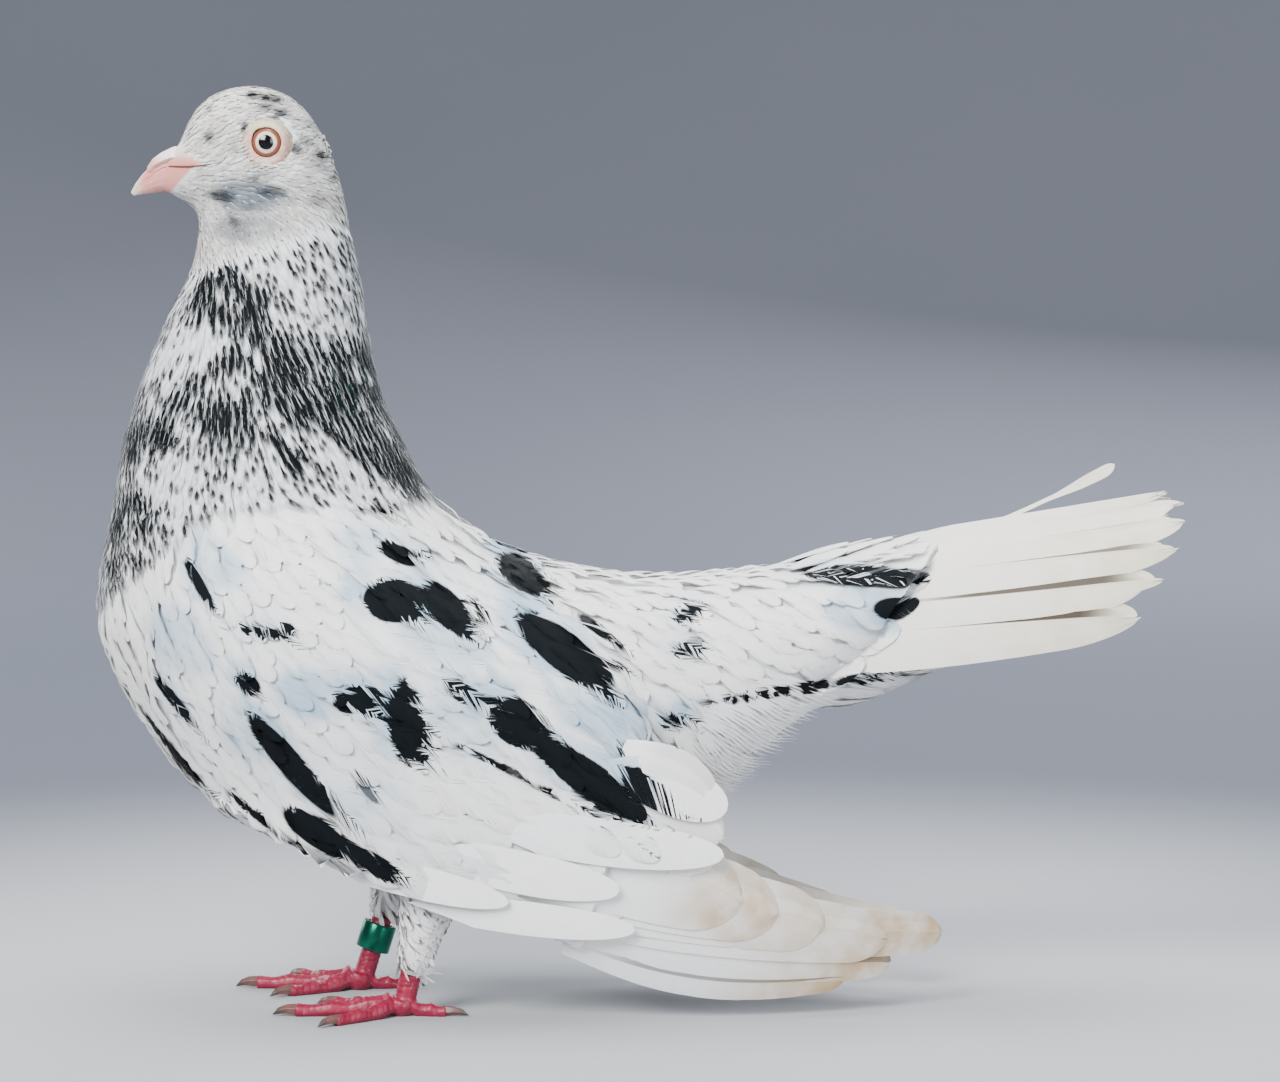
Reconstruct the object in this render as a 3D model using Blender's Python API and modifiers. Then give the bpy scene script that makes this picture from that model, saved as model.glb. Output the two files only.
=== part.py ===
"""Standing fancy pigeon with an upright neck, raised tail and drooping wings.

A still, life-size model in separate closed solids.  +Z is up, the bird faces -X and its left side
is -Y.  The origin is on the floor under the middle of the bird.  Tables are in millimetres.
"""

import math

import bmesh
import bpy
from mathutils import Matrix, Vector
from mathutils.bvhtree import BVHTree

MM = 0.001
GAP = 0.3                # clearance between neighbouring pieces
WING_LIFT = 0.9          # clearance of the wing's outer face on top of its thickness
WING_SINK = 1.5          # how far the wing's blank reaches into the body before it is cut back
SHARP_ANGLE = 40.0       # degrees; edges sharper than this stay sharp
COLLECTION = "pigeon"

# Body: sections fanned from the bill round the neck to the tail's root.
# Each row: back point (x, z), front or belly point (x, z), half width, shift of the widest level.
BODY = (
    ((-122.2, 229.0), (-126.0, 216.6), 5.0, 0.00),      # 0 bill root
    ((-119.0, 236.4), (-122.0, 214.6), 8.2, 0.00),      # 1 forehead
    ((-114.6, 241.6), (-119.4, 213.0), 10.4, 0.02),     # 2
    ((-107.6, 244.6), (-117.8, 211.8), 12.0, 0.04),     # 3 crown
    ((-99.6, 244.8), (-117.2, 210.4), 12.4, 0.04),      # 4 in front of the eye
    ((-92.4, 242.2), (-117.0, 208.8), 12.8, 0.02),      # 5 behind the eye
    ((-86.4, 236.4), (-117.0, 206.8), 13.2, 0.00),      # 6
    ((-82.2, 228.0), (-117.4, 204.2), 13.9, -0.02),     # 7 back of the head
    ((-79.0, 219.0), (-118.2, 200.8), 14.8, -0.02),     # 8
    ((-76.4, 208.6), (-119.6, 196.8), 16.4, 0.00),      # 9 nape
    ((-74.4, 198.0), (-121.6, 192.4), 18.4, 0.02),      # 10
    ((-72.4, 186.4), (-124.8, 186.4), 21.0, 0.04),      # 11
    ((-70.9, 174.4), (-129.2, 176.4), 24.0, 0.04),      # 12
    ((-67.4, 161.2), (-134.4, 163.4), 27.6, 0.04),      # 13
    ((-61.6, 149.0), (-138.4, 148.6), 31.2, 0.04),      # 14 foot of the neck
    ((-53.4, 135.6), (-141.4, 133.4), 35.0, 0.04),      # 15
    ((-41.6, 126.4), (-144.2, 119.0), 38.2, 0.02),      # 16 shoulders
    ((-27.0, 120.2), (-146.4, 106.0), 40.6, 0.00),      # 17
    ((-10.4, 116.6), (-143.6, 94.4), 42.0, -0.02),      # 18 breast
    ((5.4, 115.8), (-136.6, 79.8), 42.4, -0.04),        # 19
    ((18.4, 116.4), (-126.6, 64.8), 41.8, -0.04),       # 20
    ((29.0, 117.6), (-111.4, 49.6), 40.4, -0.02),       # 21
    ((37.0, 118.6), (-90.4, 40.6), 38.8, 0.00),         # 22 belly
    ((43.6, 119.4), (-67.6, 36.2), 37.0, 0.02),         # 23
    ((49.4, 120.2), (-44.6, 36.4), 35.0, 0.04),         # 24
    ((55.0, 121.2), (-20.8, 40.6), 32.6, 0.06),         # 25
    ((60.8, 122.4), (0.6, 47.8), 30.0, 0.10),           # 26 vent
    ((67.0, 123.8), (18.6, 56.6), 27.6, 0.14),          # 27
    ((73.8, 125.2), (34.6, 68.6), 25.2, 0.18),          # 28
    ((82.0, 126.6), (48.6, 78.4), 23.4, 0.20),          # 29 tail root
)
# Pieces of the body: first row, last row, number of rings
HEAD_SPAN = (0.0, 8.6, 13)
NECK_SPAN = (8.6, 14.6, 9)
TRUNK_SPAN = (14.6, 26.4, 14)
RUMP_SPAN = (26.4, 29.0, 5)
BODY_SIDES = 22
BLOCK = 80.0              # size of the blocks that trim feather roots

# Eyes
EYE_X = -97.8
EYE_Z = 229.6
EYE_RADIUS = 6.3
EYE_DEPTH = 7.0          # centre's distance from the mirror plane

# Bill: root and tip of its ridge, mouth line and underside, seen from the side
BILL_RIDGE = ((-123.2, 227.0), (-128.0, 224.4), (-132.0, 220.6), (-134.6, 216.6))
BILL_MOUTH = ((-124.2, 223.6), (-127.8, 222.2), (-131.2, 219.4), (-134.2, 216.0))
BILL_BASE = ((-126.0, 217.2), (-128.6, 216.8), (-131.2, 216.5), (-133.2, 216.3))
BILL_HALF_WIDTH = (4.4, 3.5, 2.4, 0.8)
BILL_RINGS = 6
BILL_SIDES = 9
BILL_ARCH = 0.9          # below 1 the arch's flanks are fuller
LOWER_BILL = 0.94        # width of the lower bill against the upper
CERE_LENGTH = 0.5        # share of the bill's length that the cere covers
CERE_RINGS = 5
CERE_THIN = 0.5          # the cere's thickness at its front edge
CERE_SWELL = 1.3         # how much thicker it is at the root
CERE_EDGE = 22.0         # degrees above the mouth line where its lower edge lies

# Wings, seen from the side: front to rear, upper edge (x, z), lower edge (x, z), thickness
WING = (
    ((-124.6, 116.0), (-130.0, 88.0), 1.4),
    ((-114.0, 127.0), (-126.0, 70.4), 4.6),
    ((-94.0, 132.0), (-112.6, 57.0), 6.8),
    ((-72.0, 131.0), (-92.6, 47.6), 8.4),
    ((-50.6, 124.2), (-70.6, 39.4), 9.6),
    ((-30.6, 113.8), (-50.6, 31.4), 10.6),
    ((-12.6, 101.6), (-31.0, 24.0), 11.4),
    ((3.4, 80.0), (-14.4, 18.0), 12.0),
)
WING_ROWS = 7
WING_STEPS = 12
WING_EDGE = 1.6          # least thickness, at the upper and lower edge
WING_INSIDE = 0.35       # share of the thickness inside the line it hangs on
WING_ROUND = 0.6         # below 1 the wing thickens quickly behind its edges
HANG_WIDTH = 44.0        # half width of the bird where the wings hang free
HANG_HEIGHT = 85.0
HANG_LEAN = 0.11         # inward lean below that height
HANG_TAPER = 0.0026      # inward curve towards the wing tips
WING_STRAIGHT = 14.0      # the wings start to close this far ahead of the middle
BACK_ROUND = 0.02        # rounding over the back above the hanging part
HANG_FRONT = -58.0
HANG_ROUND = 0.0062      # rounding of the breast in front of that station

# Flight feathers: root (x, z), tip (x, z), width, bend; the first of each list lies outermost
SECONDARIES = (
    ((-6.0, 72.0), (19.6, 57.0), 15.0, 3.0),
    ((-8.0, 62.0), (21.4, 50.6), 16.0, 3.0),
    ((-11.0, 52.0), (20.0, 44.6), 17.0, 3.0),
    ((-14.0, 43.0), (13.4, 40.4), 17.0, 2.0),
    ((-18.0, 35.0), (1.0, 36.4), 16.0, 1.0),
)
PRIMARIES = (
    ((-16.0, 43.0), (26.4, 32.8), 25.0, 2.0),
    ((-16.0, 39.0), (35.8, 29.0), 23.0, 2.0),
    ((-18.0, 35.0), (48.2, 25.2), 21.0, 2.0),
    ((-18.0, 31.4), (64.6, 20.4), 19.0, 1.0),
    ((-18.0, 28.4), (80.0, 20.4), 15.0, 0.0),
    ((-20.0, 24.6), (66.0, 13.4), 12.0, -2.0),
    ((-20.0, 21.6), (54.0, 10.0), 10.0, -5.0),
)
FAR_TIPS = (-5.0, 0.78)  # the right wing droops more: its tips' shift ahead, and share of the height
FAR_ROOTS = 0.9          # its primary roots' height against the left's
VANE_STEPS = 6
VANE_CROWDING = 2.1      # above 1 the levels crowd towards the tip
VANE_THICKNESS = 1.3
VANE_STEP_OUT = 0.75     # how much further in each next vane lies
VANE_TIP_ROUND = 0.5     # length of a vane's rounded tip against its width
VANE_ROOT_WIDTH = 0.72   # width at the root against the middle
SECONDARY_INSET = 1.0    # outermost secondary below the wing's outer face

# Tail: twelve feathers over a rounded roof, whose lower edges start further forward
TAIL_FEATHERS = 12
TAIL_SPREAD = 86.0                # degrees from the ridge to the tail's outer edge
# at the root and at the tip: ridge (x, z), half width, height, how far the lower edge lies ahead
TAIL_ROOF = (
    ((74.0, 123.6), 21.0, 41.0, 26.0),
    ((141.0, 134.8), 25.0, 33.6, 4.0),
)
TAIL_OUTER_SHORT = 4.0
TAIL_ROUNDING = 5.0               # how much longer the feathers beside the ridge are
TAIL_TIP_ROUND = 4.0
TAIL_LINES = (0.0, 0.3, 0.7, 1.0) # lengthwise lines across one feather
TAIL_ROWS = 3
TAIL_THICKNESS = 0.9
TAIL_STEP = 0.9                   # a feather's outer edge above its inner edge
TAIL_TUCK = 0.012                 # overhang of each feather on the next, in radians

# One slender covert stands up from the tail: root, tip, width
STRAY_FEATHER = ((58.0, 5.0, 116.4), (127.0, 8.0, 143.4), 6.0)
STRAY_THICKNESS = 0.9

# Soft mass under the tail: rows as for the body
UNDERTAIL = (
    ((76.0, 116.0), (48.6, 76.8), 17.0, 0.16),
    ((88.0, 117.0), (66.0, 84.4), 15.0, 0.10),
    ((100.0, 118.0), (84.0, 92.6), 11.0, 0.04),
    ((110.0, 118.4), (100.0, 103.0), 5.0, 0.00),
)
UNDERTAIL_RINGS = 6
UNDERTAIL_SIDES = 12

# Legs: each from the belly (x, y, z) to the foot's centre on the floor (x, y)
LEG_LEFT = ((-51.0, -21.0, 52.0), (-63.0, -20.0))
LEG_RIGHT = ((-60.0, 20.0, 52.0), (-76.6, 17.0))
THIGH_RADII = (12.0, 10.4, 8.6, 6.6, 4.6, 3.5)
THIGH_END_LEFT = 12.0    # height above the floor where the feathers end
THIGH_END_RIGHT = 20.0
TARSUS_RADIUS = 2.7
TARSUS_END = 4.4
RING_INSIDE = 3.3
RING_OUTSIDE = 4.6
RING_HEIGHT = 7.4
RING_LEVEL = 14.4
RING_BEVEL = 0.35
RING_STEPS = 20
LEG_SIDES = 10
ANKLE_CLEARANCE = 2.0    # room left in the foot round the end of the shank
ANKLE_TOP = 12.0

# Toes: name, length, heading in degrees from straight ahead (outwards positive), root radius
TOES = (
    ("inner", 21.0, -30.0, 2.4),
    ("middle", 28.0, 3.0, 2.6),
    ("outer", 22.0, 42.0, 2.3),
    ("hind", 12.0, 172.0, 2.2),
)
TOE_RINGS = 7
TOE_SIDES = 7
TOE_RISE = 3.4           # extra height of the toes where they leave the foot
TOE_RISE_END = 0.45      # share of the toe's length where it reaches the floor
TOE_TAPER = 0.36
PAD_SWELL = 0.11
PADS = 3
PALM_RADIUS = 3.9
PALM_FACETS = (10, 6)
SOLE = 0.35              # how deep the pads are pressed flat on the floor
CLAW_LENGTH = 5.6
CLAW_ROOT = 0.8          # radius at its root against the toe's tip
CLAW_TIP = 0.16          # radius at its tip
CLAW_TIP_HEIGHT = 0.45
CLAW_ARCH = 0.5
CLAW_TURN = 0.7          # how far the tip turns down
CLAW_CLEAR = 0.1         # least height of a claw over the floor
CLAW_RINGS = 4
CLAW_SIDES = 5
FLOOR_BLOCK = (0.4, 0.2, 0.02)   # metres; cuts the pads flat


def clear_scene():
    for obj in list(bpy.data.objects):
        bpy.data.objects.remove(obj, do_unlink=True)


def collection(name):
    made = bpy.data.collections.new(name)
    bpy.context.scene.collection.children.link(made)
    return made


def material(name, colour, roughness, metallic=0.0):
    made = bpy.data.materials.new(name)
    made.use_nodes = True
    shader = made.node_tree.nodes["Principled BSDF"]
    shader.inputs["Base Color"].default_value = (*colour, 1.0)
    shader.inputs["Roughness"].default_value = roughness
    shader.inputs["Metallic"].default_value = metallic
    made.diffuse_color = (*colour, 1.0)
    return made


def solid(name, points, faces, look, place):
    """One closed mesh object from points in millimetres."""
    mesh = bpy.data.meshes.new(name)
    mesh.from_pydata([tuple(c * MM for c in p) for p in points], [], faces)
    shape = bmesh.new()
    shape.from_mesh(mesh)
    bmesh.ops.recalc_face_normals(shape, faces=shape.faces)
    shape.to_mesh(mesh)
    shape.free()
    mesh.shade_smooth()
    mesh.set_sharp_from_angle(angle=math.radians(SHARP_ANGLE))
    made = bpy.data.objects.new(name, mesh)
    mesh.materials.append(look)
    place.objects.link(made)
    return made


def smooth_row(rows, t):
    """Row of a table at a fractional index, on a Catmull-Rom curve through its rows."""
    last = len(rows) - 1
    i = min(int(t), last - 1)
    f = t - i
    a, b, c, d = (rows[min(max(i + k, 0), last)] for k in (-1, 0, 1, 2))

    def mix(p, q, r, s):
        if isinstance(q, tuple):
            return tuple(mix(*group) for group in zip(p, q, r, s))
        return 0.5 * (2 * q + (r - p) * f + (2 * p - 5 * q + 4 * r - s) * f * f
                      + (3 * q - p - 3 * r + s) * f ** 3)

    return mix(a, b, c, d)


def spread(start, stop, count):
    return [start + (stop - start) * i / (count - 1) for i in range(count)]


def tube_faces(rings, sides):
    """Triangles of a closed tube of rings, alike on both halves, with a flat cap at each end."""
    faces = []
    for i in range(rings - 1):
        for j in range(sides):
            k = (j + 1) % sides
            a, b = i * sides + j, i * sides + k
            c, d = b + sides, a + sides
            faces += [(a, b, c), (a, c, d)] if j < sides / 2 else [(a, b, d), (b, c, d)]
    faces.append(tuple(range(sides)))
    faces.append(tuple((rings - 1) * sides + j for j in range(sides)))
    return faces


def section(row, sides, shift=0.0):
    """Oval section from one row of a body table, moved along its normal by shift."""
    back, front, half, level = row
    back = Vector((back[0], 0, back[1]))
    front = Vector((front[0], 0, front[1]))
    middle = (back + front) / 2
    reach = (back - front) / 2
    normal = Vector((0, 1, 0)).cross(reach).normalized()
    ring = []
    for j in range(sides):
        angle = 2 * math.pi * j / sides
        along = math.cos(angle) + level * math.sin(angle) ** 2
        ring.append(middle + reach * along + Vector((0, half * math.sin(angle), 0)) + normal * shift)
    return ring


def body_piece(name, span, look, place, first=False):
    """A length of the body, standing clear of the length before it."""
    points = []
    rings = span[2]
    for i, t in enumerate(spread(*span)):
        points += section(smooth_row(BODY, t), BODY_SIDES, 0.0 if first or i else GAP)
    return solid(name, points, tube_faces(rings, BODY_SIDES), look, place)


def boolean(target, cutter, operation):
    modifier = target.modifiers.new(f"{operation.lower()} {cutter.name}", "BOOLEAN")
    modifier.operation = operation
    modifier.solver = "EXACT"
    modifier.object = cutter


def sphere(name, centre, radius, look, place, segments=14, rings=8):
    """A ball with its poles on the sideways axis."""
    shape = bmesh.new()
    bmesh.ops.create_uvsphere(shape, u_segments=segments, v_segments=rings, radius=radius * MM)
    bmesh.ops.rotate(shape, verts=shape.verts, matrix=Matrix.Rotation(math.radians(90), 3, "X"))
    mesh = bpy.data.meshes.new(name)
    shape.to_mesh(mesh)
    shape.free()
    mesh.shade_smooth()
    mesh.materials.append(look)
    made = bpy.data.objects.new(name, mesh)
    made.location = Vector(centre) * MM
    place.objects.link(made)
    return made


def as_cutter(obj):
    obj.hide_render = True
    obj.display_type = "WIRE"


def make_head(look, eye_look, place, cutters):
    head = body_piece("head", HEAD_SPAN, look, place, first=True)
    for side, sign in (("left", -1), ("right", 1)):
        centre = (EYE_X, sign * EYE_DEPTH, EYE_Z)
        sphere(f"eye_{side}", centre, EYE_RADIUS, eye_look, place)
        socket = sphere(f"socket_{side}", centre, EYE_RADIUS + GAP, look, cutters)
        as_cutter(socket)
        boolean(head, socket, "DIFFERENCE")


def bill_section(s):
    """Ridge, mouth line, underside (x, z) and half width at share s of the bill's length."""
    index = s * (len(BILL_RIDGE) - 1)
    rows = tuple(zip(BILL_RIDGE, BILL_MOUTH, BILL_BASE, BILL_HALF_WIDTH))
    return smooth_row(rows, index)


def dome(low, high, half, sides, start=0.0, stop=math.pi):
    """Arched cross-section over a flat side: from low (x, z) towards high (x, z)."""
    points = []
    for angle in spread(start, stop, sides):
        rise = max(0.0, math.sin(angle)) ** BILL_ARCH
        x = low[0] + (high[0] - low[0]) * rise
        z = low[1] + (high[1] - low[1]) * rise
        points.append(Vector((x, half * math.cos(angle), z)))
    return points


def make_bill(look, cere_look, place):
    """Upper and lower bill, parted by a gap along the mouth line, and the cere over the root."""
    upper, lower, cere = [], [], []
    for s in spread(0.0, 1.0, BILL_RINGS):
        ridge, mouth, base, half = bill_section(s)
        upper += dome((mouth[0], mouth[1] + GAP / 2), ridge, half, BILL_SIDES)
        lower += dome((mouth[0], mouth[1] - GAP / 2), base, half * LOWER_BILL, BILL_SIDES)
    solid("bill_upper", upper, tube_faces(BILL_RINGS, BILL_SIDES), look, place)
    solid("bill_lower", lower, tube_faces(BILL_RINGS, BILL_SIDES), look, place)
    for share in spread(0.0, 1.0, CERE_RINGS):
        ridge, mouth, _, half = bill_section(share * CERE_LENGTH)
        swell = GAP + CERE_THIN + CERE_SWELL * math.sqrt(max(0.0, math.cos(math.pi / 2 * share)))
        inner = raised_dome(mouth, ridge, half, GAP)
        outer = raised_dome(mouth, ridge, half, swell)
        cere += inner + outer[::-1]
    solid("cere", cere, tube_faces(CERE_RINGS, 2 * BILL_SIDES), cere_look, place)


def raised_dome(mouth, ridge, half, lift):
    """The upper bill's arch at a distance, over its upper part only."""
    top = Vector((ridge[0] - mouth[0], 0, ridge[1] - mouth[1]))
    size = top.length
    high = Vector((mouth[0], 0, mouth[1])) + top * ((size + lift) / size)
    edge = math.radians(CERE_EDGE)
    return dome(mouth, (high.x, high.z), half + lift, BILL_SIDES, edge, math.pi - edge)


def side_surface(*pieces):
    """A function giving the body's half width at (x, z), or 0 where it isn't there."""
    trees = [BVHTree.FromObject(piece, bpy.context.evaluated_depsgraph_get()) for piece in pieces]

    def half_width(x, z):
        found = 0.0
        for tree in trees:
            hit = tree.ray_cast(Vector((x * MM, -0.2, z * MM)), Vector((0, 1, 0)))[0]
            if hit:
                found = max(found, -hit.y / MM)
        return found

    return half_width


def hang(x, z):
    """Half width at which the wing hangs where the body does not hold it out."""
    lean = HANG_LEAN * max(0.0, HANG_HEIGHT - z)
    taper = HANG_TAPER * max(0.0, x + WING_STRAIGHT) ** 2
    shoulder = HANG_ROUND * max(0.0, HANG_FRONT - x) ** 2
    back = BACK_ROUND * max(0.0, z - HANG_HEIGHT) ** 2
    return HANG_WIDTH - lean - taper - shoulder - back


def mirrored(piece, name, place):
    """The right-hand twin of a left-hand piece."""
    graph = bpy.context.evaluated_depsgraph_get()
    mesh = bpy.data.meshes.new_from_object(piece.evaluated_get(graph))
    shape = bmesh.new()
    shape.from_mesh(mesh)
    for vert in shape.verts:
        vert.co.y = -vert.co.y
    bmesh.ops.reverse_faces(shape, faces=shape.faces)
    shape.to_mesh(mesh)
    shape.free()
    made = bpy.data.objects.new(name, mesh)
    place.objects.link(made)
    return made


def wing_point(t, v, half_width, share):
    """Point on the left wing: t along it, v from upper to lower edge, share 0 inside to 1 outside."""
    top, bottom, thick = smooth_row(WING, t)
    x = top[0] + (bottom[0] - top[0]) * v
    z = top[1] + (bottom[1] - top[1]) * v
    body = half_width(x, z)
    free = hang(x, z) - thick * WING_INSIDE
    if not share:
        return Vector((x, -max(body - WING_SINK, free), z))
    depth = WING_EDGE + (thick - WING_EDGE) * math.sin(math.pi * v) ** WING_ROUND
    return Vector((x, -(max(body + WING_LIFT, free) + depth), z))


def clearance(piece, cutters):
    """A copy of a piece, grown by the gap, that keeps its neighbours off it."""
    mesh = piece.data.copy()
    shape = bmesh.new()
    shape.from_mesh(mesh)
    shape.normal_update()
    for vert in shape.verts:
        vert.co += vert.normal * GAP * vert.calc_shell_factor() * MM
    shape.to_mesh(mesh)
    shape.free()
    grown = bpy.data.objects.new(f"{piece.name}_clearance", mesh)
    cutters.objects.link(grown)
    as_cutter(grown)
    return grown


def make_wing(half_width, body, look, place, cutters):
    points = []
    for t in spread(0.0, len(WING) - 1.0, WING_STEPS):
        rows = spread(0.0, 1.0, WING_ROWS)
        points += [wing_point(t, v, half_width, 1.0) for v in rows]
        points += [wing_point(t, v, half_width, 0.0) for v in rows[::-1]]
    wing = solid("wing_left", points, tube_faces(WING_STEPS, 2 * WING_ROWS), look, place)
    for piece in body:
        boolean(wing, clearance(piece, cutters), "DIFFERENCE")
    mirrored(wing, "wing_right", place)


def vane_levels():
    """Shares along a feather, closer together towards its rounded tip."""
    return [1 - (1 - i / VANE_STEPS) ** VANE_CROWDING for i in range(VANE_STEPS + 1)]


def vane(root, tip, width, bend, surface):
    """Points and faces of one thin flight feather laid on surface(x, z, side)."""
    root = Vector((root[0], root[1]))
    tip = Vector((tip[0], tip[1]))
    along = (tip - root).normalized()
    across = Vector((-along.y, along.x))
    tip_share = VANE_TIP_ROUND * width / (tip - root).length
    points = []
    for s in vane_levels():
        near_tip = max(0.0, 1 - (1 - s) / tip_share)
        belly = VANE_ROOT_WIDTH + (1 - VANE_ROOT_WIDTH) * math.sin(math.pi * s)
        half = width / 2 * belly * math.sqrt(1.03 - near_tip ** 2)
        centre = root + (tip - root) * s + across * bend * math.sin(math.pi * s)
        ring = []
        for side, row in ((1, (-1, 1)), (0, (1, -1))):
            for k in row:
                spot = centre + across * half * k
                ring.append(Vector((spot.x, -surface(spot.x, spot.y, side), spot.y)))
        points += ring
    return points, tube_faces(VANE_STEPS + 1, 4)


def vane_stack(name, rows, surface_at, look, place, cutters):
    """Overlapping flight feathers joined into one solid."""
    pieces = []
    for i, row in enumerate(rows):
        points, faces = vane(*row, surface_at(i))
        home = place if i == 0 else cutters
        piece = solid(name if i == 0 else f"{name}_vane_{i + 1}", points, faces, look, home)
        pieces.append(piece)
    for piece in pieces[1:]:
        as_cutter(piece)
        boolean(pieces[0], piece, "UNION")
    return pieces[0]


def make_flight_feathers(look, place, cutters):
    """Secondaries and primaries of both wings, trimmed behind the wing's end."""
    wing_back = WING[-1]
    outer_thick = wing_back[2] * (1 - WING_INSIDE)

    def stack_surface(inset):
        def at(i):
            def surface(x, z, side):
                outside = hang(x, z) + outer_thick - inset - i * VANE_STEP_OUT
                return outside - (0 if side else VANE_THICKNESS)
            return surface
        return at

    primary_inset = SECONDARY_INSET + (len(SECONDARIES) - 1) * VANE_STEP_OUT + VANE_THICKNESS + GAP
    wall = half_space("wing_end", wing_back[0], wing_back[1], cutters, look)
    shift, sink = FAR_TIPS
    far_primaries = [((root[0], root[1] * FAR_ROOTS), (tip[0] + shift, tip[1] * sink), width, bend)
                     for root, tip, width, bend in PRIMARIES]
    for kind, rows, inset in (
        ("secondaries", SECONDARIES, SECONDARY_INSET),
        ("primaries", PRIMARIES, primary_inset),
        ("far_primaries", far_primaries, primary_inset),
    ):
        far = kind == "far_primaries"
        home = cutters if far else place
        stack = vane_stack(f"{kind}_left", rows, stack_surface(inset), look, home, cutters)
        boolean(stack, wall, "DIFFERENCE")
        if far:
            as_cutter(stack)
        if kind != "primaries":
            mirrored(stack, "primaries_right" if far else f"{kind}_right", place)


def half_space(name, top, bottom, cutters, look):
    """Block that takes away what lies ahead of a slanted cross plane, and a gap behind it."""
    top = Vector((top[0], 0, top[1]))
    bottom = Vector((bottom[0], 0, bottom[1]))
    down = (bottom - top).normalized()
    ahead = Vector((0, 1, 0)).cross(down).normalized()
    if ahead.x > 0:
        ahead = -ahead
    start = top - down * BLOCK - ahead * GAP
    corners = []
    for side in (-BLOCK, BLOCK):
        for a, b in ((0, 0), (0, 3), (1, 3), (1, 0)):
            corners.append(start + ahead * a * BLOCK + down * b * BLOCK + Vector((0, side, 0)))
    faces = [(0, 1, 2, 3), (4, 5, 6, 7), (0, 1, 5, 4), (1, 2, 6, 5), (2, 3, 7, 6), (3, 0, 4, 7)]
    block = solid(name, corners, faces, look, cutters)
    as_cutter(block)
    return block


def tail_point(angle, share, lift):
    """Point on the tail's roof: angle 0 on the ridge, share 0 at the root to 1 at the tip."""
    (x0, z0), width0, drop0, ahead0 = TAIL_ROOF[0]
    (x1, z1), width1, drop1, ahead1 = TAIL_ROOF[1]
    fall = 1 - math.cos(angle)
    x = x0 + (x1 - x0) * share - (ahead0 + (ahead1 - ahead0) * share) * fall
    y = (width0 + (width1 - width0) * share + lift) * math.sin(angle)
    z = z0 + (z1 - z0) * share - (drop0 + (drop1 - drop0) * share) * fall + lift * math.cos(angle)
    return Vector((x, y, z))


def tail_columns():
    """Angle above, angle below, lift and length of each lengthwise line of the fanned tail.

    Each feather lies over the next one outwards, so its outer edge stands a step above the
    inner edge of its neighbour, and overhangs it a little.
    """
    reach = TAIL_ROOF[1][0][0] - TAIL_ROOF[0][0][0]
    half = TAIL_FEATHERS // 2
    band = math.radians(TAIL_SPREAD) / half
    outward = []
    for i in range(half):
        out = (i + 0.5) / half
        base = TAIL_ROUNDING * math.sin(math.pi * out) - TAIL_OUTER_SHORT * out ** 2
        for share in TAIL_LINES:
            angle = band * (i + share)
            tuck = TAIL_TUCK if share == 1.0 else -TAIL_TUCK if share == 0.0 and i else 0.0
            length = 1 + (base - TAIL_TIP_ROUND * abs(2 * share - 1) ** 3) / reach
            outward.append((angle + tuck, angle - tuck, TAIL_STEP * (share if i else 1.0), length))
    inward = [(-above, -below, lift, length) for above, below, lift, length in outward[:0:-1]]
    return inward + outward


def make_tail(look, place, cutters):
    """The tail feathers as one stepped, arched plate, ending behind the rump."""
    columns = tail_columns()
    rows = spread(0.0, 1.0, TAIL_ROWS)
    points = []
    for above, below, lift, length in columns:
        points += [tail_point(above, s * length, TAIL_THICKNESS + lift) for s in rows]
        points += [tail_point(below, s * length, 0.0) for s in rows[::-1]]
    tail = solid("tail", points, tube_faces(len(columns), 2 * TAIL_ROWS), look, place)
    stray = stray_feather(look, cutters)
    as_cutter(stray)
    boolean(tail, stray, "UNION")
    back, front, _, _ = smooth_row(BODY, RUMP_SPAN[1])
    boolean(tail, half_space("tail_root", back, front, cutters, look), "DIFFERENCE")


def stray_feather(look, cutters):
    root, tip, width = STRAY_FEATHER
    root, tip = Vector(root), Vector(tip)
    along = (tip - root).normalized()
    across = Vector((0, 1, 0)).cross(along).cross(along).normalized()
    up = along.cross(across)
    points = []
    for s in vane_levels():
        half = width / 2 * math.sqrt(max(0.03, 1 - s ** 4))
        centre = root + (tip - root) * s
        for lift, row in ((STRAY_THICKNESS / 2, (-1, 1)), (-STRAY_THICKNESS / 2, (1, -1))):
            points += [centre + across * half * k + up * lift for k in row]
    return solid("stray_feather", points, tube_faces(VANE_STEPS + 1, 4), look, cutters)


def leg_point(leg, height):
    """Centre of the leg at a height above the floor."""
    top, foot = leg
    share = height / top[2]
    return Vector((foot[0] + (top[0] - foot[0]) * share, foot[1] + (top[1] - foot[1]) * share, height))


def ring_around(centre, axis, radius, sides, squash=1.0):
    """Circle of points about an axis; squash narrows it sideways."""
    axis = axis.normalized()
    ahead = Vector((0, 1, 0)).cross(axis).normalized()
    aside = axis.cross(ahead)
    turn = 2 * math.pi / sides
    return [centre + ahead * radius * math.cos(turn * j) + aside * radius * squash * math.sin(turn * j)
            for j in range(sides)]


def leg_tube(name, leg, start, stop, radii, look, place):
    axis = leg_point(leg, 0.0) - leg_point(leg, 1.0)
    points = []
    for height, radius in zip(spread(start, stop, len(radii)), radii):
        points += ring_around(leg_point(leg, height), axis, radius, LEG_SIDES)
    return solid(name, points, tube_faces(len(radii), LEG_SIDES), look, place)


def toe_centre(foot, heading, length, radius, s):
    """Point on a toe's middle line at share s, and its radius there."""
    thick = radius * (1 - TOE_TAPER * s) * (1 + PAD_SWELL * math.cos(2 * math.pi * PADS * s))
    rise = TOE_RISE * max(0.0, 1 - s / TOE_RISE_END) ** 2
    reach = length * s
    spot = Vector((foot[0] - reach * math.cos(heading), foot[1] + reach * math.sin(heading),
                   thick - SOLE + rise))
    return spot, thick


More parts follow.
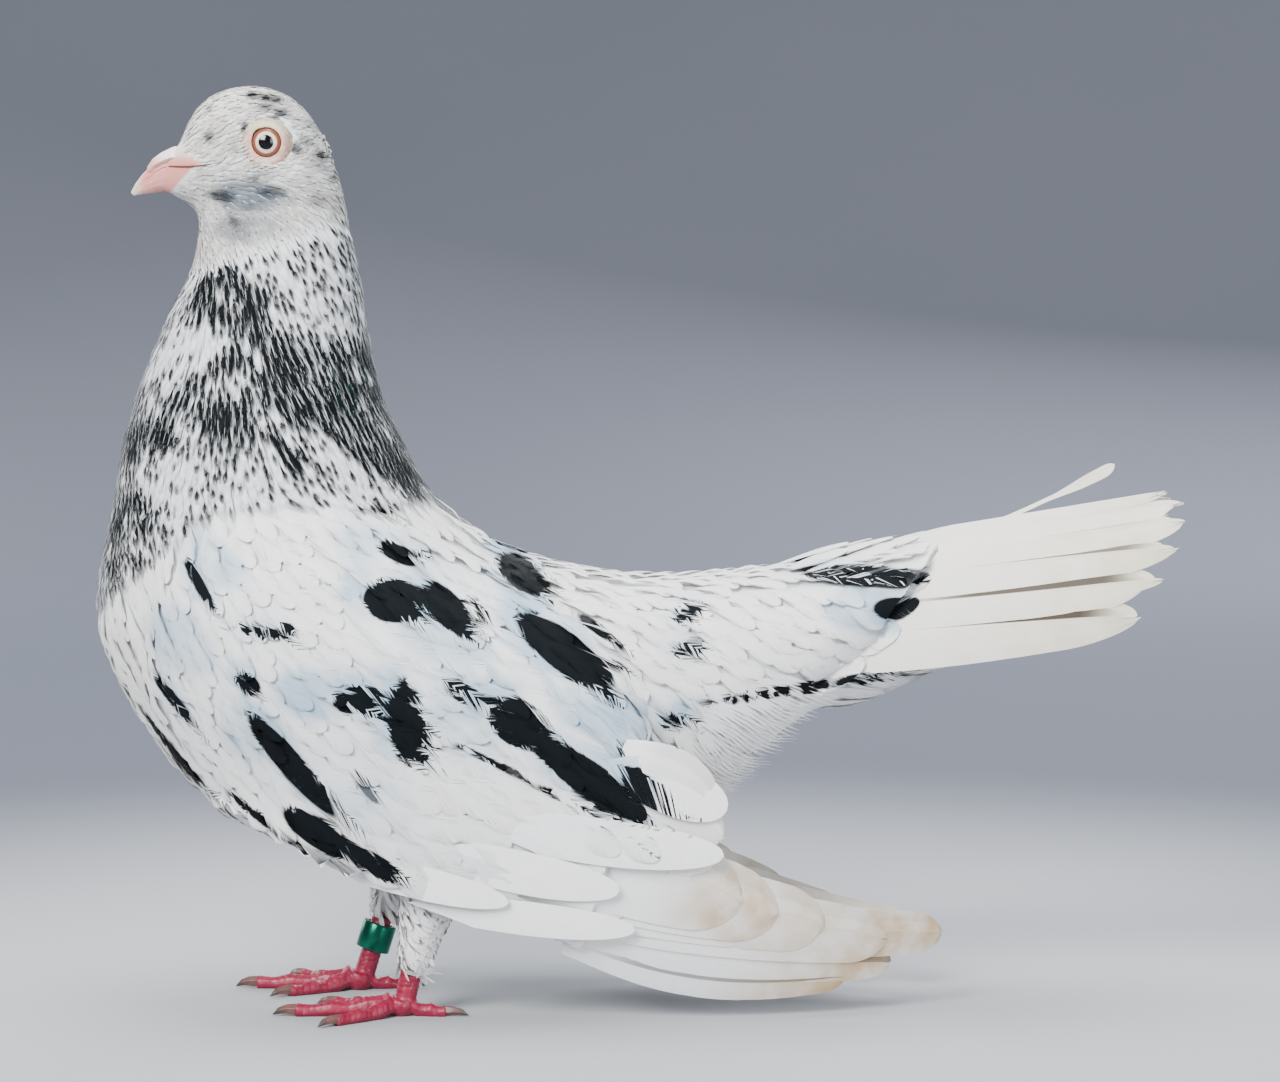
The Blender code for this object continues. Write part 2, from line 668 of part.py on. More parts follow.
def make_foot(side, leg, sign, skin, horn, place, cutters):
    """Palm and four toes in one piece, flat under each pad, with separate claws."""
    foot = leg[1]
    centre = (foot[0], foot[1], PALM_RADIUS - 2 * SOLE)
    palm = sphere(f"foot_{side}", centre, PALM_RADIUS, skin, place, *PALM_FACETS)
    for name, length, degrees, radius in TOES:
        heading = math.radians(degrees) * sign
        forward = Vector((-math.cos(heading), math.sin(heading), 0))
        points = []
        for s in spread(0.0, 1.0, TOE_RINGS):
            spot, thick = toe_centre(foot, heading, length, radius, s)
            points += ring_around(spot, forward, thick, TOE_SIDES)
        toe = solid(f"toe_{side}_{name}", points, tube_faces(TOE_RINGS, TOE_SIDES), skin, cutters)
        as_cutter(toe)
        boolean(palm, toe, "UNION")
        tip, thick = toe_centre(foot, heading, length, radius, 1.0)
        make_claw(f"claw_{side}_{name}", tip + forward * GAP, forward, thick * CLAW_ROOT, horn, place)
    boolean(palm, floor_block(cutters), "DIFFERENCE")
    shank_hole = leg_tube(f"shank_clearance_{side}", leg, TARSUS_END - GAP, ANKLE_TOP,
                          (TARSUS_RADIUS + ANKLE_CLEARANCE,) * 2, skin, cutters)
    as_cutter(shank_hole)
    boolean(palm, shank_hole, "DIFFERENCE")


def floor_block(cutters):
    """Block under the floor, made once and shared by both feet."""
    name = "below_floor"
    if name in bpy.data.objects:
        return bpy.data.objects[name]
    mesh = bpy.data.meshes.new(name)
    shape = bmesh.new()
    bmesh.ops.create_cube(shape, size=1.0)
    bmesh.ops.scale(shape, verts=shape.verts, vec=FLOOR_BLOCK)
    bmesh.ops.translate(shape, verts=shape.verts, vec=(0, 0, -FLOOR_BLOCK[2] / 2))
    shape.to_mesh(mesh)
    shape.free()
    block = bpy.data.objects.new(name, mesh)
    cutters.objects.link(block)
    as_cutter(block)
    return block


def make_claw(name, root, forward, radius, look, place):
    """Curved nail that runs forward and turns down, ending just off the floor."""
    points = []
    for i, s in enumerate(spread(0.0, 1.0, CLAW_RINGS)):
        thick = radius * math.sqrt(1 - s) + CLAW_TIP
        height = root.z + CLAW_ARCH * math.sin(math.pi * s) - (root.z - CLAW_TIP_HEIGHT) * s ** 2
        height = max(height, thick + CLAW_CLEAR)
        centre = Vector((root.x, root.y, 0)) + forward * CLAW_LENGTH * s + Vector((0, 0, height))
        lean = Vector((forward.x, forward.y, -CLAW_TURN * s))
        points += ring_around(centre, lean if i else forward, thick, CLAW_SIDES)
    solid(name, points, tube_faces(CLAW_RINGS, CLAW_SIDES), look, place)


def make_leg_ring(leg, look, place):
    """Plain closed band round the right leg: a turned profile."""
    half = RING_HEIGHT / 2
    rim = RING_OUTSIDE - RING_BEVEL
    profile = (
        (rim, half), (RING_OUTSIDE, half - RING_BEVEL), (RING_OUTSIDE, RING_BEVEL - half),
        (rim, -half), (RING_INSIDE, -half), (RING_INSIDE, half),
    )
    mesh = bpy.data.meshes.new("leg_ring")
    count = len(profile)
    mesh.from_pydata([(x * MM, 0, z * MM) for x, z in profile],
                     [(i, (i + 1) % count) for i in range(count)], [])
    ring = bpy.data.objects.new("leg_ring", mesh)
    mesh.materials.append(look)
    place.objects.link(ring)
    screw = ring.modifiers.new("turn", "SCREW")
    screw.steps = screw.render_steps = RING_STEPS
    screw.use_merge_vertices = True
    screw.merge_threshold = 0.00001
    ring.location = leg_point(leg, RING_LEVEL) * MM
    axis = leg_point(leg, 1.0) - leg_point(leg, 0.0)
    ring.rotation_euler = axis.to_track_quat("Z", "X").to_euler()


def make_legs(down, skin, horn, band, place, cutters):
    keep_off = bpy.data.objects["trunk_clearance"]
    for side, leg, sign, end in (
        ("left", LEG_LEFT, -1, THIGH_END_LEFT),
        ("right", LEG_RIGHT, 1, THIGH_END_RIGHT),
    ):
        thigh = leg_tube(f"thigh_{side}", leg, leg[0][2], end, THIGH_RADII, down, place)
        boolean(thigh, keep_off, "DIFFERENCE")
        leg_tube(f"shank_{side}", leg, end - GAP, TARSUS_END, (TARSUS_RADIUS,) * 3, skin, place)
        make_foot(side, leg, sign, skin, horn, place, cutters)
    make_leg_ring(LEG_RIGHT, band, place)


def make_undertail(look, place):
    points = []
    for i, t in enumerate(spread(0.0, len(UNDERTAIL) - 1.0, UNDERTAIL_RINGS)):
        points += section(smooth_row(UNDERTAIL, t), UNDERTAIL_SIDES, 0.0 if i else GAP)
    solid("undertail", points, tube_faces(UNDERTAIL_RINGS, UNDERTAIL_SIDES), look, place)


def main():
    clear_scene()
    place = collection(COLLECTION)
    cutters = collection("cutters")
    white = material("white plumage", (0.86, 0.86, 0.84), 0.8)
    grizzle = material("grizzled hackles", (0.42, 0.43, 0.44), 0.7)
    cream = material("flight feathers", (0.85, 0.82, 0.74), 0.7)
    eye = material("eye", (0.75, 0.3, 0.16), 0.1)
    horn = material("bill", (0.78, 0.45, 0.42), 0.45)
    wattle = material("cere", (0.85, 0.72, 0.7), 0.7)
    red = material("foot skin", (0.5, 0.04, 0.06), 0.5)
    claw = material("claw", (0.3, 0.22, 0.2), 0.4)
    green = material("leg ring", (0.02, 0.3, 0.2), 0.25, 1.0)
    make_head(white, eye, place, cutters)
    make_bill(horn, wattle, place)
    body = [
        body_piece("neck", NECK_SPAN, grizzle, place),
        body_piece("trunk", TRUNK_SPAN, white, place),
        body_piece("rump", RUMP_SPAN, white, place),
    ]
    bpy.context.view_layer.update()
    make_wing(side_surface(*body), body, white, place, cutters)
    make_flight_feathers(cream, place, cutters)
    make_tail(cream, place, cutters)
    make_undertail(white, place)
    make_legs(white, red, claw, green, place, cutters)


main()
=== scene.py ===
"""Looks of the standing pigeon: one skin, feathers as mesh vanes, eyes, bill, feet and leg ring.

The bird faces -X and its left side is -Y.  Lengths are in millimetres unless a name says otherwise.
Places on the bird are shares of the solids' box: u runs from breast to tail, w from floor to crown.
"""

import heapq
import math

import bmesh
import bpy
import numpy as np
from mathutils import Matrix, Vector
from mathutils.bvhtree import BVHTree


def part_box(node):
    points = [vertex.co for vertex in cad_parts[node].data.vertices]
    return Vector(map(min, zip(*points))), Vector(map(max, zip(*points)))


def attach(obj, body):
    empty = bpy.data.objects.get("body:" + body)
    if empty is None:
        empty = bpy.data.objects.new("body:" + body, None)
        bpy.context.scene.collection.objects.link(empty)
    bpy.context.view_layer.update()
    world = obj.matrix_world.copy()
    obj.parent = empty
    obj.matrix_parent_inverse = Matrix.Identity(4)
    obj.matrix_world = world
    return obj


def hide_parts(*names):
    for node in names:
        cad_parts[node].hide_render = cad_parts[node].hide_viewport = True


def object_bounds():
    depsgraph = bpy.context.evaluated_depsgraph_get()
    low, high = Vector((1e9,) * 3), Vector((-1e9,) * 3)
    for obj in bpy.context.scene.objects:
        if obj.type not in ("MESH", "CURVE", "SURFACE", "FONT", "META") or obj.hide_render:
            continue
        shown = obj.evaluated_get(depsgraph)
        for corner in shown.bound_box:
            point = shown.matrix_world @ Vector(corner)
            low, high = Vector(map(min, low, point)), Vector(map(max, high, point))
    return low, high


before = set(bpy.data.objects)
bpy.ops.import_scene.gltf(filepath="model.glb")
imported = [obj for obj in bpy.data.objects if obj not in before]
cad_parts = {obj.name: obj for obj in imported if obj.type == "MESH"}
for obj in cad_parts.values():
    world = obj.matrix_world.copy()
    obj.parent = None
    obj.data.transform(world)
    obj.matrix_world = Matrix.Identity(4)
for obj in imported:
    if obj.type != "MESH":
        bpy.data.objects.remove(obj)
CAD_LOW, CAD_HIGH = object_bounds()

MM = 0.001
SEED = 11
UV_NAME = "OFBake"
PATCH = 0.003                 # size of one feather's patch in the coat's UV map

# Skin
FLESH = ("head", "neck", "trunk", "rump", "undertail",
         "wing_left", "wing_right", "thigh_left", "thigh_right")
BILL_CORE = ("bill_upper", "bill_lower", "cere")   # the skin runs on under these
CORE_SINKS = 0.4
JOIN_SWELL = 0.35             # closes the gaps between the solids before they are joined
VOXEL = 1.25
SKIN_SOFTEN = 8
COAT_DEPTH = {"head": 0.7, "neck": 1.7, "trunk": 2.3, "rump": 2.0, "undertail": 1.6,
              "wing_left": 1.5, "wing_right": 1.5, "thigh_left": 1.0, "thigh_right": 1.0}
THIN_SHARE = 0.3              # a thin part keeps at least this share of its thickness on each side
DEPTH_ROUNDS = 12
FLOW_ROUNDS = 40
# How much the lie of the coat is drawn towards the tail, by part
DRIFT = {"head": 0.0, "neck": 0.0, "trunk": 0.45, "rump": 1.2, "undertail": 1.5,
         "wing_left": 0.75, "wing_right": 0.75, "thigh_left": 0.15, "thigh_right": 0.15}

# Colours
WHITE = (0.84, 0.85, 0.86)
WARM_WHITE = (0.80, 0.775, 0.74)
PALE_BLUE = (0.40, 0.535, 0.64)
BLACK = (0.0030, 0.0048, 0.0066)
# painted green sheen of the neck's black feathers
PAINTED_SHEEN_GREEN = (0.002, 0.030, 0.022)
BUFF = (0.47, 0.33, 0.17)
CREAM = (0.81, 0.80, 0.75)
HEAD_GREY = (0.50, 0.485, 0.455)
HEAD_BLUE = (0.085, 0.105, 0.130)
# painted shade where a flight or tail feather lies under its neighbour
PAINTED_GAP_SHADE = (0.040, 0.024, 0.009)
BARE_PINK = (0.70, 0.30, 0.26)
BARE_PALE = (0.70, 0.64, 0.61)

# Dark marks on the left side: u, w, half length, half width, slope in degrees, ink, blue base
MARKS = (
    (0.251, 0.559, 7.8, 1.9, -12, 1.0, 0.5),
    (0.287, 0.505, 4.4, 1.9, -25, 1.0, 0.8),
    (0.308, 0.502, 1.6, 1.0, 0, 0.8, 0.0),
    (0.283, 0.459, 6.6, 5.0, 0, 1.0, 1.0),
    (0.332, 0.449, 7.7, 3.4, -45, 1.0, 0.8),
    (0.359, 0.448, 2.6, 0.8, -60, 0.9, 0.0),
    (0.395, 0.478, 6.5, 2.9, -35, 1.0, 0.8),
    (0.432, 0.406, 12.8, 4.3, -38, 1.0, 1.0),
    (0.461, 0.426, 3.6, 1.0, -35, 0.9, 0.0),
    (0.484, 0.405, 1.8, 0.7, -50, 0.8, 0.0),
    (0.482, 0.387, 2.1, 0.4, -30, 0.8, 0.0),
    (0.111, 0.476, 5.9, 1.2, -58, 1.0, 0.7),
    (0.170, 0.427, 5.6, 1.3, -5, 0.9, 0.4),
    (0.192, 0.431, 1.8, 1.3, -30, 0.9, 0.0),
    (0.155, 0.372, 2.9, 2.0, -30, 1.0, 0.6),
    (0.086, 0.347, 6.7, 1.3, -50, 0.9, 0.5),
    (0.252, 0.356, 5.3, 3.1, 15, 1.0, 0.8),
    (0.296, 0.333, 10.7, 4.1, -88, 1.0, 0.8),
    (0.346, 0.365, 4.8, 2.3, -35, 0.6, 0.4),
    (0.189, 0.288, 14.4, 3.1, -52, 0.95, 0.8),
    (0.259, 0.262, 3.8, 1.0, -60, 0.8, 0.3),
    (0.079, 0.287, 10.5, 0.9, -50, 1.0, 0.0),
    (0.160, 0.222, 7.8, 0.9, -35, 1.0, 0.0),
    (0.213, 0.209, 9.3, 3.7, -35, 1.0, 0.0),
    (0.264, 0.176, 6.7, 2.8, -30, 1.0, 0.0),
    (0.394, 0.333, 7.1, 5.6, -40, 1.0, 0.9),
    (0.459, 0.271, 15.8, 4.2, -36, 1.0, 0.6),
    (0.501, 0.272, 8.2, 2.5, -65, 1.0, 0.9),
    (0.401, 0.273, 18.3, 0.6, -27, 0.9, 0.0),
    (0.546, 0.231, 0.8, 0.6, 0, 0.7, 0.0),
    (0.538, 0.182, 1.0, 0.8, 0, 0.6, 0.0),
    (0.544, 0.439, 3.6, 1.6, 35, 1.0, 0.3),
    (0.547, 0.402, 4.1, 2.1, 20, 0.6, 0.3),
    (0.536, 0.325, 4.1, 1.5, 15, 0.7, 0.5),
    (0.708, 0.473, 14.7, 2.2, -3, 0.85, 0.3),
    (0.737, 0.439, 6.3, 2.9, -5, 1.0, 1.0),
    (0.647, 0.357, 20.8, 1.1, 7, 1.0, 0.0),
)
MARK_GROWS = 0.4              # makes up for what the jagged edges take off the marks
MARK_REACH = (2.2, 6.0)       # a mark is looked for within this many half lengths and this many mm more
# Pale blue-grey patches on the left side: u, w, half length, half width, slope, strength
BLUES = (
    (0.290, 0.493, 15.4, 6.0, -30, 0.7), (0.215, 0.360, 9.0, 6.0, -10, 0.8),
    (0.467, 0.341, 11.5, 5.6, -15, 1.0), (0.126, 0.498, 7.7, 4.6, -40, 0.7),
    (0.405, 0.444, 10.3, 4.0, -40, 0.8), (0.156, 0.308, 9.0, 5.7, -50, 0.6),
    (0.696, 0.442, 7.3, 4.7, 0, 1.0), (0.327, 0.418, 12.7, 6.4, -20, 0.45),
    (0.094, 0.413, 10.3, 7.7, -40, 0.5), (0.345, 0.324, 10.2, 6.4, -40, 0.5),
    (0.255, 0.258, 15.3, 9.0, -40, 0.35), (0.536, 0.335, 5.0, 2.5, 15, 0.8),
)
BLUE_STRENGTH = 1.45
# Flecks on the head: u, w, half length, half width, slope, ink
FLECKS = (
    (0.146, 0.952, 1.0, 1.5, 0, 1.0), (0.114, 0.942, 1.2, 1.5, 0, 0.75),
    (0.113, 0.972, 1.1, 1.1, 0, 0.4), (0.152, 0.988, 1.6, 1.0, 0, 1.0),
    (0.164, 0.985, 1.9, 1.0, 0, 1.0), (0.174, 0.983, 1.6, 1.0, 0, 0.9),
    (0.165, 0.975, 2.2, 1.3, 0, 0.6), (0.178, 0.969, 1.6, 1.1, 0, 0.8),
    (0.173, 0.962, 1.3, 1.1, 0, 0.7), (0.192, 0.930, 2.0, 1.3, -30, 0.75),
    (0.201, 0.938, 2.2, 1.5, -30, 0.45), (0.214, 0.924, 1.7, 1.2, -40, 0.85),
    (0.226, 0.900, 0.8, 1.6, -30, 0.8), (0.124, 0.880, 3.7, 1.5, -10, 0.75),
    (0.155, 0.899, 1.3, 1.1, 0, 0.6), (0.171, 0.884, 3.7, 1.6, 0, 0.65),
    (0.137, 0.853, 2.6, 1.2, -50, 0.6), (0.212, 0.875, 2.4, 1.6, 0, 0.4),
    (0.219, 0.951, 1.6, 1.0, -40, 0.6), (0.138, 0.933, 0.8, 2.0, 0, 0.4),
)
# Soft grey on the head: u, w, half length, half width, slope, strength
HEAD_SHADES = (
    (0.132, 0.868, 2.6, 1.3, -20, 1.0), (0.128, 0.893, 1.8, 1.0, 10, 0.9),
    (0.163, 0.902, 3.0, 1.0, -15, 0.8), (0.181, 0.880, 3.2, 1.5, -20, 0.95),
    (0.150, 0.857, 3.2, 1.4, -35, 0.9), (0.169, 0.862, 2.0, 0.9, -25, 0.8),
    (0.212, 0.914, 3.0, 1.4, -45, 0.9), (0.205, 0.955, 2.4, 1.2, -40, 0.8),
    (0.180, 0.966, 3.0, 1.2, -20, 0.8), (0.115, 0.947, 1.6, 2.0, 0, 0.5),
    (0.228, 0.872, 1.6, 3.4, 0, 0.55), (0.150, 0.879, 9.5, 4.9, -5, 0.95),
    (0.150, 0.845, 10.0, 4.0, 0, 0.75), (0.205, 0.888, 5.3, 4.8, 0, 0.3),
    (0.185, 0.945, 5.5, 4.0, -30, 0.35), (0.165, 0.978, 6.0, 2.2, 0, 0.45),
)
# Zones of the neck: u, w, half length, half width, slope, share of dark streaks there
NECK_ZONES = (
    (0.133, 0.783, 7.2, 8.0, 0, 0.92), (0.165, 0.724, 11.0, 4.4, 10, 0.9),
    (0.055, 0.635, 8.5, 4.0, 20, 0.9), (0.109, 0.679, 6.5, 2.8, 45, 0.75),
    (0.156, 0.660, 11.5, 4.8, 0, 0.92), (0.200, 0.681, 9.0, 5.5, 0, 0.92),
    (0.243, 0.702, 7.0, 3.8, -70, 0.9), (0.248, 0.639, 10.5, 4.8, -35, 0.95),
    (0.278, 0.606, 8.5, 3.4, -50, 0.9), (0.199, 0.612, 7.0, 3.6, -50, 0.85),
    (0.036, 0.567, 9.5, 6.0, -90, 0.8), (0.029, 0.507, 10.0, 6.0, -100, 0.7),
    (0.124, 0.606, 6.5, 3.0, 0, 0.65), (0.060, 0.677, 5.3, 3.0, 50, 0.65),
    (0.098, 0.728, 8.0, 3.4, 35, 0.06), (0.082, 0.600, 10.5, 3.4, 10, 0.12),
    (0.215, 0.785, 9.0, 9.0, 0, 0.48), (0.183, 0.581, 15.5, 2.6, 0, 0.2),
    (0.208, 0.626, 7.8, 1.8, -35, 0.1), (0.120, 0.830, 9.0, 5.0, 0, 0.42),
)
# Lower edge of the hackles: u, w
NECK_EDGE = ((0.0, 0.44), (0.067, 0.518), (0.125, 0.571), (0.2, 0.586), (0.316, 0.565), (0.40, 0.70))
NECK_DARK = 0.56              # share of dark streaks elsewhere on the neck
NECK_GIRTH = 27.0             # radius that turns angles round the neck into lengths
SHEEN_SPOT = (0.245, 0.67)    # of the painted green sheen: u, w
SHEEN_REACH = 13.0
ASIDE = 60.0                  # rays towards the bird's side start this far from its middle plane

random = np.random.default_rng(SEED)


# ---------------------------------------------------------------- small helpers

def spot(u, w):
    """Side-view place (x, z) at shares u and w of the solids' box."""
    size = CAD_HIGH - CAD_LOW
    return np.array((CAD_LOW.x + u * size.x, CAD_LOW.z + w * size.z)) / MM


def unit(vectors):
    """The vectors at length 1."""
    return vectors / np.maximum(np.linalg.norm(vectors, axis=-1, keepdims=True), 1e-9)


def smooth(low, high, value):
    """0 below low, 1 above high, with a smooth step between."""
    share = np.clip((value - low) / (high - low), 0.0, 1.0)
    return share * share * (3.0 - 2.0 * share)


def linked(name, data):
    """A new object with some data, in the scene."""
    made = bpy.data.objects.new(name, data)
    bpy.context.scene.collection.objects.link(made)
    return made


def mesh_of(name, shape):
    """Mesh made from a bmesh, which is freed."""
    mesh = bpy.data.meshes.new(name)
    shape.to_mesh(mesh)
    shape.free()
    return mesh


def box_middle(node):
    """Middle of a solid's box, in millimetres."""
    low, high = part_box(node)
    return (np.array(low) + np.array(high)) / 2 / MM


def outward_of(side):
    """Which way along Y a side of the bird looks."""
    return -1 if side == "left" else 1


def grid_faces(rows, columns, round_rows=False, round_columns=False):
    """Quads between the points of a grid, row by row; rows or columns may close to a ring."""
    faces = []
    for i in range(rows if round_rows else rows - 1):
        for j in range(columns if round_columns else columns - 1):
            below, beside = (i + 1) % rows * columns, (j + 1) % columns
            faces.append((i * columns + j, i * columns + beside, below + beside, below + j))
    return np.array(faces)


def from_aside(tree, outward, x, z, start=ASIDE):
    """What a ray from the bird's side meets at (x, z)."""
    return tree.ray_cast(Vector((x, outward * start, z)), Vector((0, -outward, 0)))


def turned_over(quads):
    """The same quads, wound the other way."""
    return quads[:, (0, 3, 2, 1)]


def facing_out(points, quads):
    """The quads of a closed mesh or tube, wound so that they face outwards."""
    a, b, c, d = (points[quads[:, k]] - points.mean(0) for k in range(4))
    volume = (a * (np.cross(b, c) + np.cross(c, d))).sum()
    return quads if volume > 0 else turned_over(quads)


def mesh_object(name, points, faces, material):
    """Mesh object from arrays in millimetres; each face has the same number of corners."""
    mesh = bpy.data.meshes.new(name)
    faces = np.asarray(faces, np.int32)
    mesh.vertices.add(len(points))
    mesh.vertices.foreach_set("co", (np.asarray(points, np.float32) * MM).ravel())
    mesh.loops.add(faces.size)
    mesh.loops.foreach_set("vertex_index", faces.ravel())
    mesh.polygons.add(len(faces))
    mesh.polygons.foreach_set("loop_start", np.arange(0, faces.size, faces.shape[1], dtype=np.int32))
    mesh.update(calc_edges=True)
    mesh.shade_smooth()
    mesh.materials.append(material)
    made = linked(name, mesh)
    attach(made, "root")
    return made


def add_values(obj, **values):
    """Named numbers for every vertex, read by the materials."""
    for name, array in values.items():
        layer = obj.data.attributes.new(name, "FLOAT", "POINT")
        layer.data.foreach_set("value", np.asarray(array, np.float32).ravel())


def add_uv(obj, uv):
    """UV map from one coordinate for every vertex."""
    layer = obj.data.uv_layers.new(name=UV_NAME)
    corners = np.empty(len(obj.data.loops), np.int32)
    obj.data.loops.foreach_get("vertex_index", corners)
    layer.data.foreach_set("uv", np.asarray(uv, np.float32)[corners].ravel())


def arrays(mesh):
    """Vertices in millimetres, triangles and edges of a mesh."""
    points = np.empty(len(mesh.vertices) * 3, np.float32)
    mesh.vertices.foreach_get("co", points)
    mesh.calc_loop_triangles()
    triangles = np.empty(len(mesh.loop_triangles) * 3, np.int32)
    mesh.loop_triangles.foreach_get("vertices", triangles)
    edges = np.empty(len(mesh.edges) * 2, np.int32)
    mesh.edges.foreach_get("vertices", edges)
    return points.reshape(-1, 3).astype(float) / MM, triangles.reshape(-1, 3), edges.reshape(-1, 2)


def gathered(index, values, count):
    """Sum of values for each index."""
    if values.ndim == 1:
        return np.bincount(index, weights=values, minlength=count)
    return np.stack([np.bincount(index, weights=column, minlength=count) for column in values.T], 1)


def averaged(values, edges, rounds):
    """Values spread over the mesh by averaging each vertex with its neighbours."""
    count = len(values)
    a, b = edges.T
    share = 1.0 + np.bincount(a, minlength=count) + np.bincount(b, minlength=count)
    share = share[:, None] if values.ndim > 1 else share
    for _ in range(rounds):
        values = (values + gathered(a, values[b], count) + gathered(b, values[a], count)) / share
    return values


# ---------------------------------------------------------------- markings

def in_oval(dx, dz, length, width, slope):
    """Distance in mm outside (or, below 0, inside) an oval, from its middle in side view."""
    angle = math.radians(slope)
    along = (dx * math.cos(angle) + dz * math.sin(angle)) / length
    across = (dz * math.cos(angle) - dx * math.sin(angle)) / width
    return (np.sqrt(along ** 2 + across ** 2) - 1.0) * min(length, width)


def in_spot(points, u, w, length, width, slope):
    """The same, for an oval placed on the bird."""
    x, z = spot(u, w)
    return in_oval(points[:, 0] - x, points[:, 2] - z, length, width, slope)


def far_side(points):
    """Places of the right side, shifted so that its marks differ a little from the left's."""
    right = points[:, 1] > 0
    moved = points.copy()
    moved[right, 0] += 3.0 + 2.0 * np.sin(points[right, 2] / 9.0)
    moved[right, 2] += 2.5 * np.sin(points[right, 0] / 11.0 + 1.0)
    return moved


def body_marks(points, flow, reach, stretch):
    """Distance to the nearest dark mark, its ink, and the blue-grey share.

    reach shifts each barb along the lie of the coat, which makes the marks' front edges jagged.
    stretch draws some barbs' black out behind, which makes their rear edges a fringe.
    """
    side = far_side(points)
    lie = unit(flow[:, (0, 2)])
    edge = np.full(len(points), 9.0)
    ink = np.zeros(len(points))
    blue = np.zeros(len(points))
    for u, w, length, width, slope, depth, base in MARKS:
        x, z = spot(u, w)
        dx, dz = side[:, 0] - x, side[:, 2] - z
        near = np.hypot(dx, dz) < MARK_REACH[0] * length + MARK_REACH[1]
        dx, dz, way = dx[near], dz[near], lie[near]
        behind = dx * way[:, 0] + dz * way[:, 1]
        pull = reach[near] + np.maximum(behind, 0.0) * stretch[near]
        away = in_oval(dx - way[:, 0] * pull, dz - way[:, 1] * pull, length, width, slope) - MARK_GROWS
        nearer = away < edge[near]
        edge[near] = np.where(nearer, away, edge[near])
        ink[near] = np.where(nearer, depth, ink[near])
        if base:
            shift = 1.0 * width
            halo = in_oval(dx + way[:, 0] * shift, dz + way[:, 1] * shift, length * 1.05 + 1.2,
                           width * 1.2 + 1.5, slope)
            blue[near] = np.maximum(blue[near], base * smooth(2.5, -2.0, halo))
    for u, w, length, width, slope, strength in BLUES:
        away = in_spot(side, u, w, length, width, slope)
        blue = np.maximum(blue, strength * smooth(3.0, -2.0, away))
    return edge, ink, np.minimum(1.0, BLUE_STRENGTH * blue)


def head_marks(points, reach):
    """The same for the head; reach shifts each barb along the bird."""
    edge = np.full(len(points), 9.0)
    ink = np.zeros(len(points))
    blue = np.zeros(len(points))
    side = far_side(points)
    side[:, 0] += reach
    for u, w, length, width, slope, depth in FLECKS:
        away = in_spot(side, u, w, length, width, slope)
        nearer = away < edge
        edge[nearer] = away[nearer]
        ink[nearer] = depth
    for u, w, length, width, slope, strength in HEAD_SHADES:
        away = in_spot(side, u, w, length, width, slope)
        blue = np.maximum(blue, strength * smooth(2.0, -2.5, away))
    return edge, ink, blue


def over_neck(points):
    """0 where the head meets the neck, 1 from some way above."""
    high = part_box("neck")[1] / MM
    return smooth(0.0, 9.0, points[:, 2] - high.z - 0.35 * (points[:, 0] - high.x))


def neck_darkness(points):
    """Share of dark streaks at each place on the neck."""
    side = far_side(points)
    total = np.full(len(points), 0.25)
    value = total * NECK_DARK
    for u, w, length, width, slope, share in NECK_ZONES:
        weight = 2.2 * smooth(3.0, -1.5, in_spot(side, u, w, length, width, slope))
        total += weight
        value += weight * share
    x, y, z = side.T
    patchy = np.sin(x / 2.9 + 2.0 * np.sin(z / 5.0)) * np.sin(z / 4.1 + y / 3.7)
    return np.clip(value / total + 0.16 * patchy, 0.0, 1.0)


# ---------------------------------------------------------------- skin

# Where the feathers of the head begin beside the bill: height over the mouth's corner, and how far back
BILL_EDGE = ((-8.0, -1.8), (-7.2, -1.0), (-4.0, 1.8), (-0.9, 5.2), (0.4, 8.2), (1.2, 7.6), (3.0, 4.8),
             (5.4, 1.6), (7.5, -1.2))
MOUTH_END = (0.126, 0.916)    # hind end of the mouth's line: u, w
BILL_RADIUS = 7.5             # the head's feathers lie away from the ring this far round the bill's root


def mouth_corner():
    """Where the mouth's line leaves the bill, in side view."""
    return np.array((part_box("bill_upper")[1].x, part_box("bill_lower")[1].z)) / MM


def beside_bill(points):
    """How far each place lies ahead of the edge of the head's feathers, in mm."""
    x, z = mouth_corner()
    heights, backs = np.array(BILL_EDGE).T
    return x + np.interp(points[:, 2] - z, heights, backs) - points[:, 0]


def swollen(shape, names, amount):
    """Adds some solids to the shape, swollen along their normals."""
    part = bmesh.new()
    for name in names:
        part.from_mesh(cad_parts[name].data)
    bmesh.ops.remove_doubles(part, verts=part.verts, dist=1e-6)
    part.normal_update()
    for vert in part.verts:
        vert.co += vert.normal * amount * MM
    shape.from_mesh(mesh_of("part", part))


def fused(groups, voxel, rounds):
    """Some solids as one closed, softened mesh; groups are (names, how much they swell)."""
    shape = bmesh.new()
    for names, amount in groups:
        swollen(shape, names, amount)
    source = linked("fused", mesh_of("fused", shape))
    join = source.modifiers.new("join", "REMESH")
    join.mode = "VOXEL"
    join.voxel_size = voxel * MM
    soften = source.modifiers.new("soften", "SMOOTH")
    soften.iterations = rounds
    made = bpy.data.meshes.new_from_object(source.evaluated_get(bpy.context.evaluated_depsgraph_get()))
    bpy.data.objects.remove(source)
    return made


def nearest_parts(points):
    """Which flesh solid lies nearest each point, as an index into FLESH."""
    vertices, faces, owner = [], [], []
    for index, name in enumerate(FLESH):
        part, triangles, _ = arrays(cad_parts[name].data)
        faces += [[len(vertices) + int(i) for i in face] for face in triangles]
        owner += [index] * len(triangles)
        vertices += part.tolist()
    tree = BVHTree.FromPolygons(vertices, faces)
    return np.array([owner[tree.find_nearest(p)[2]] for p in points.tolist()])


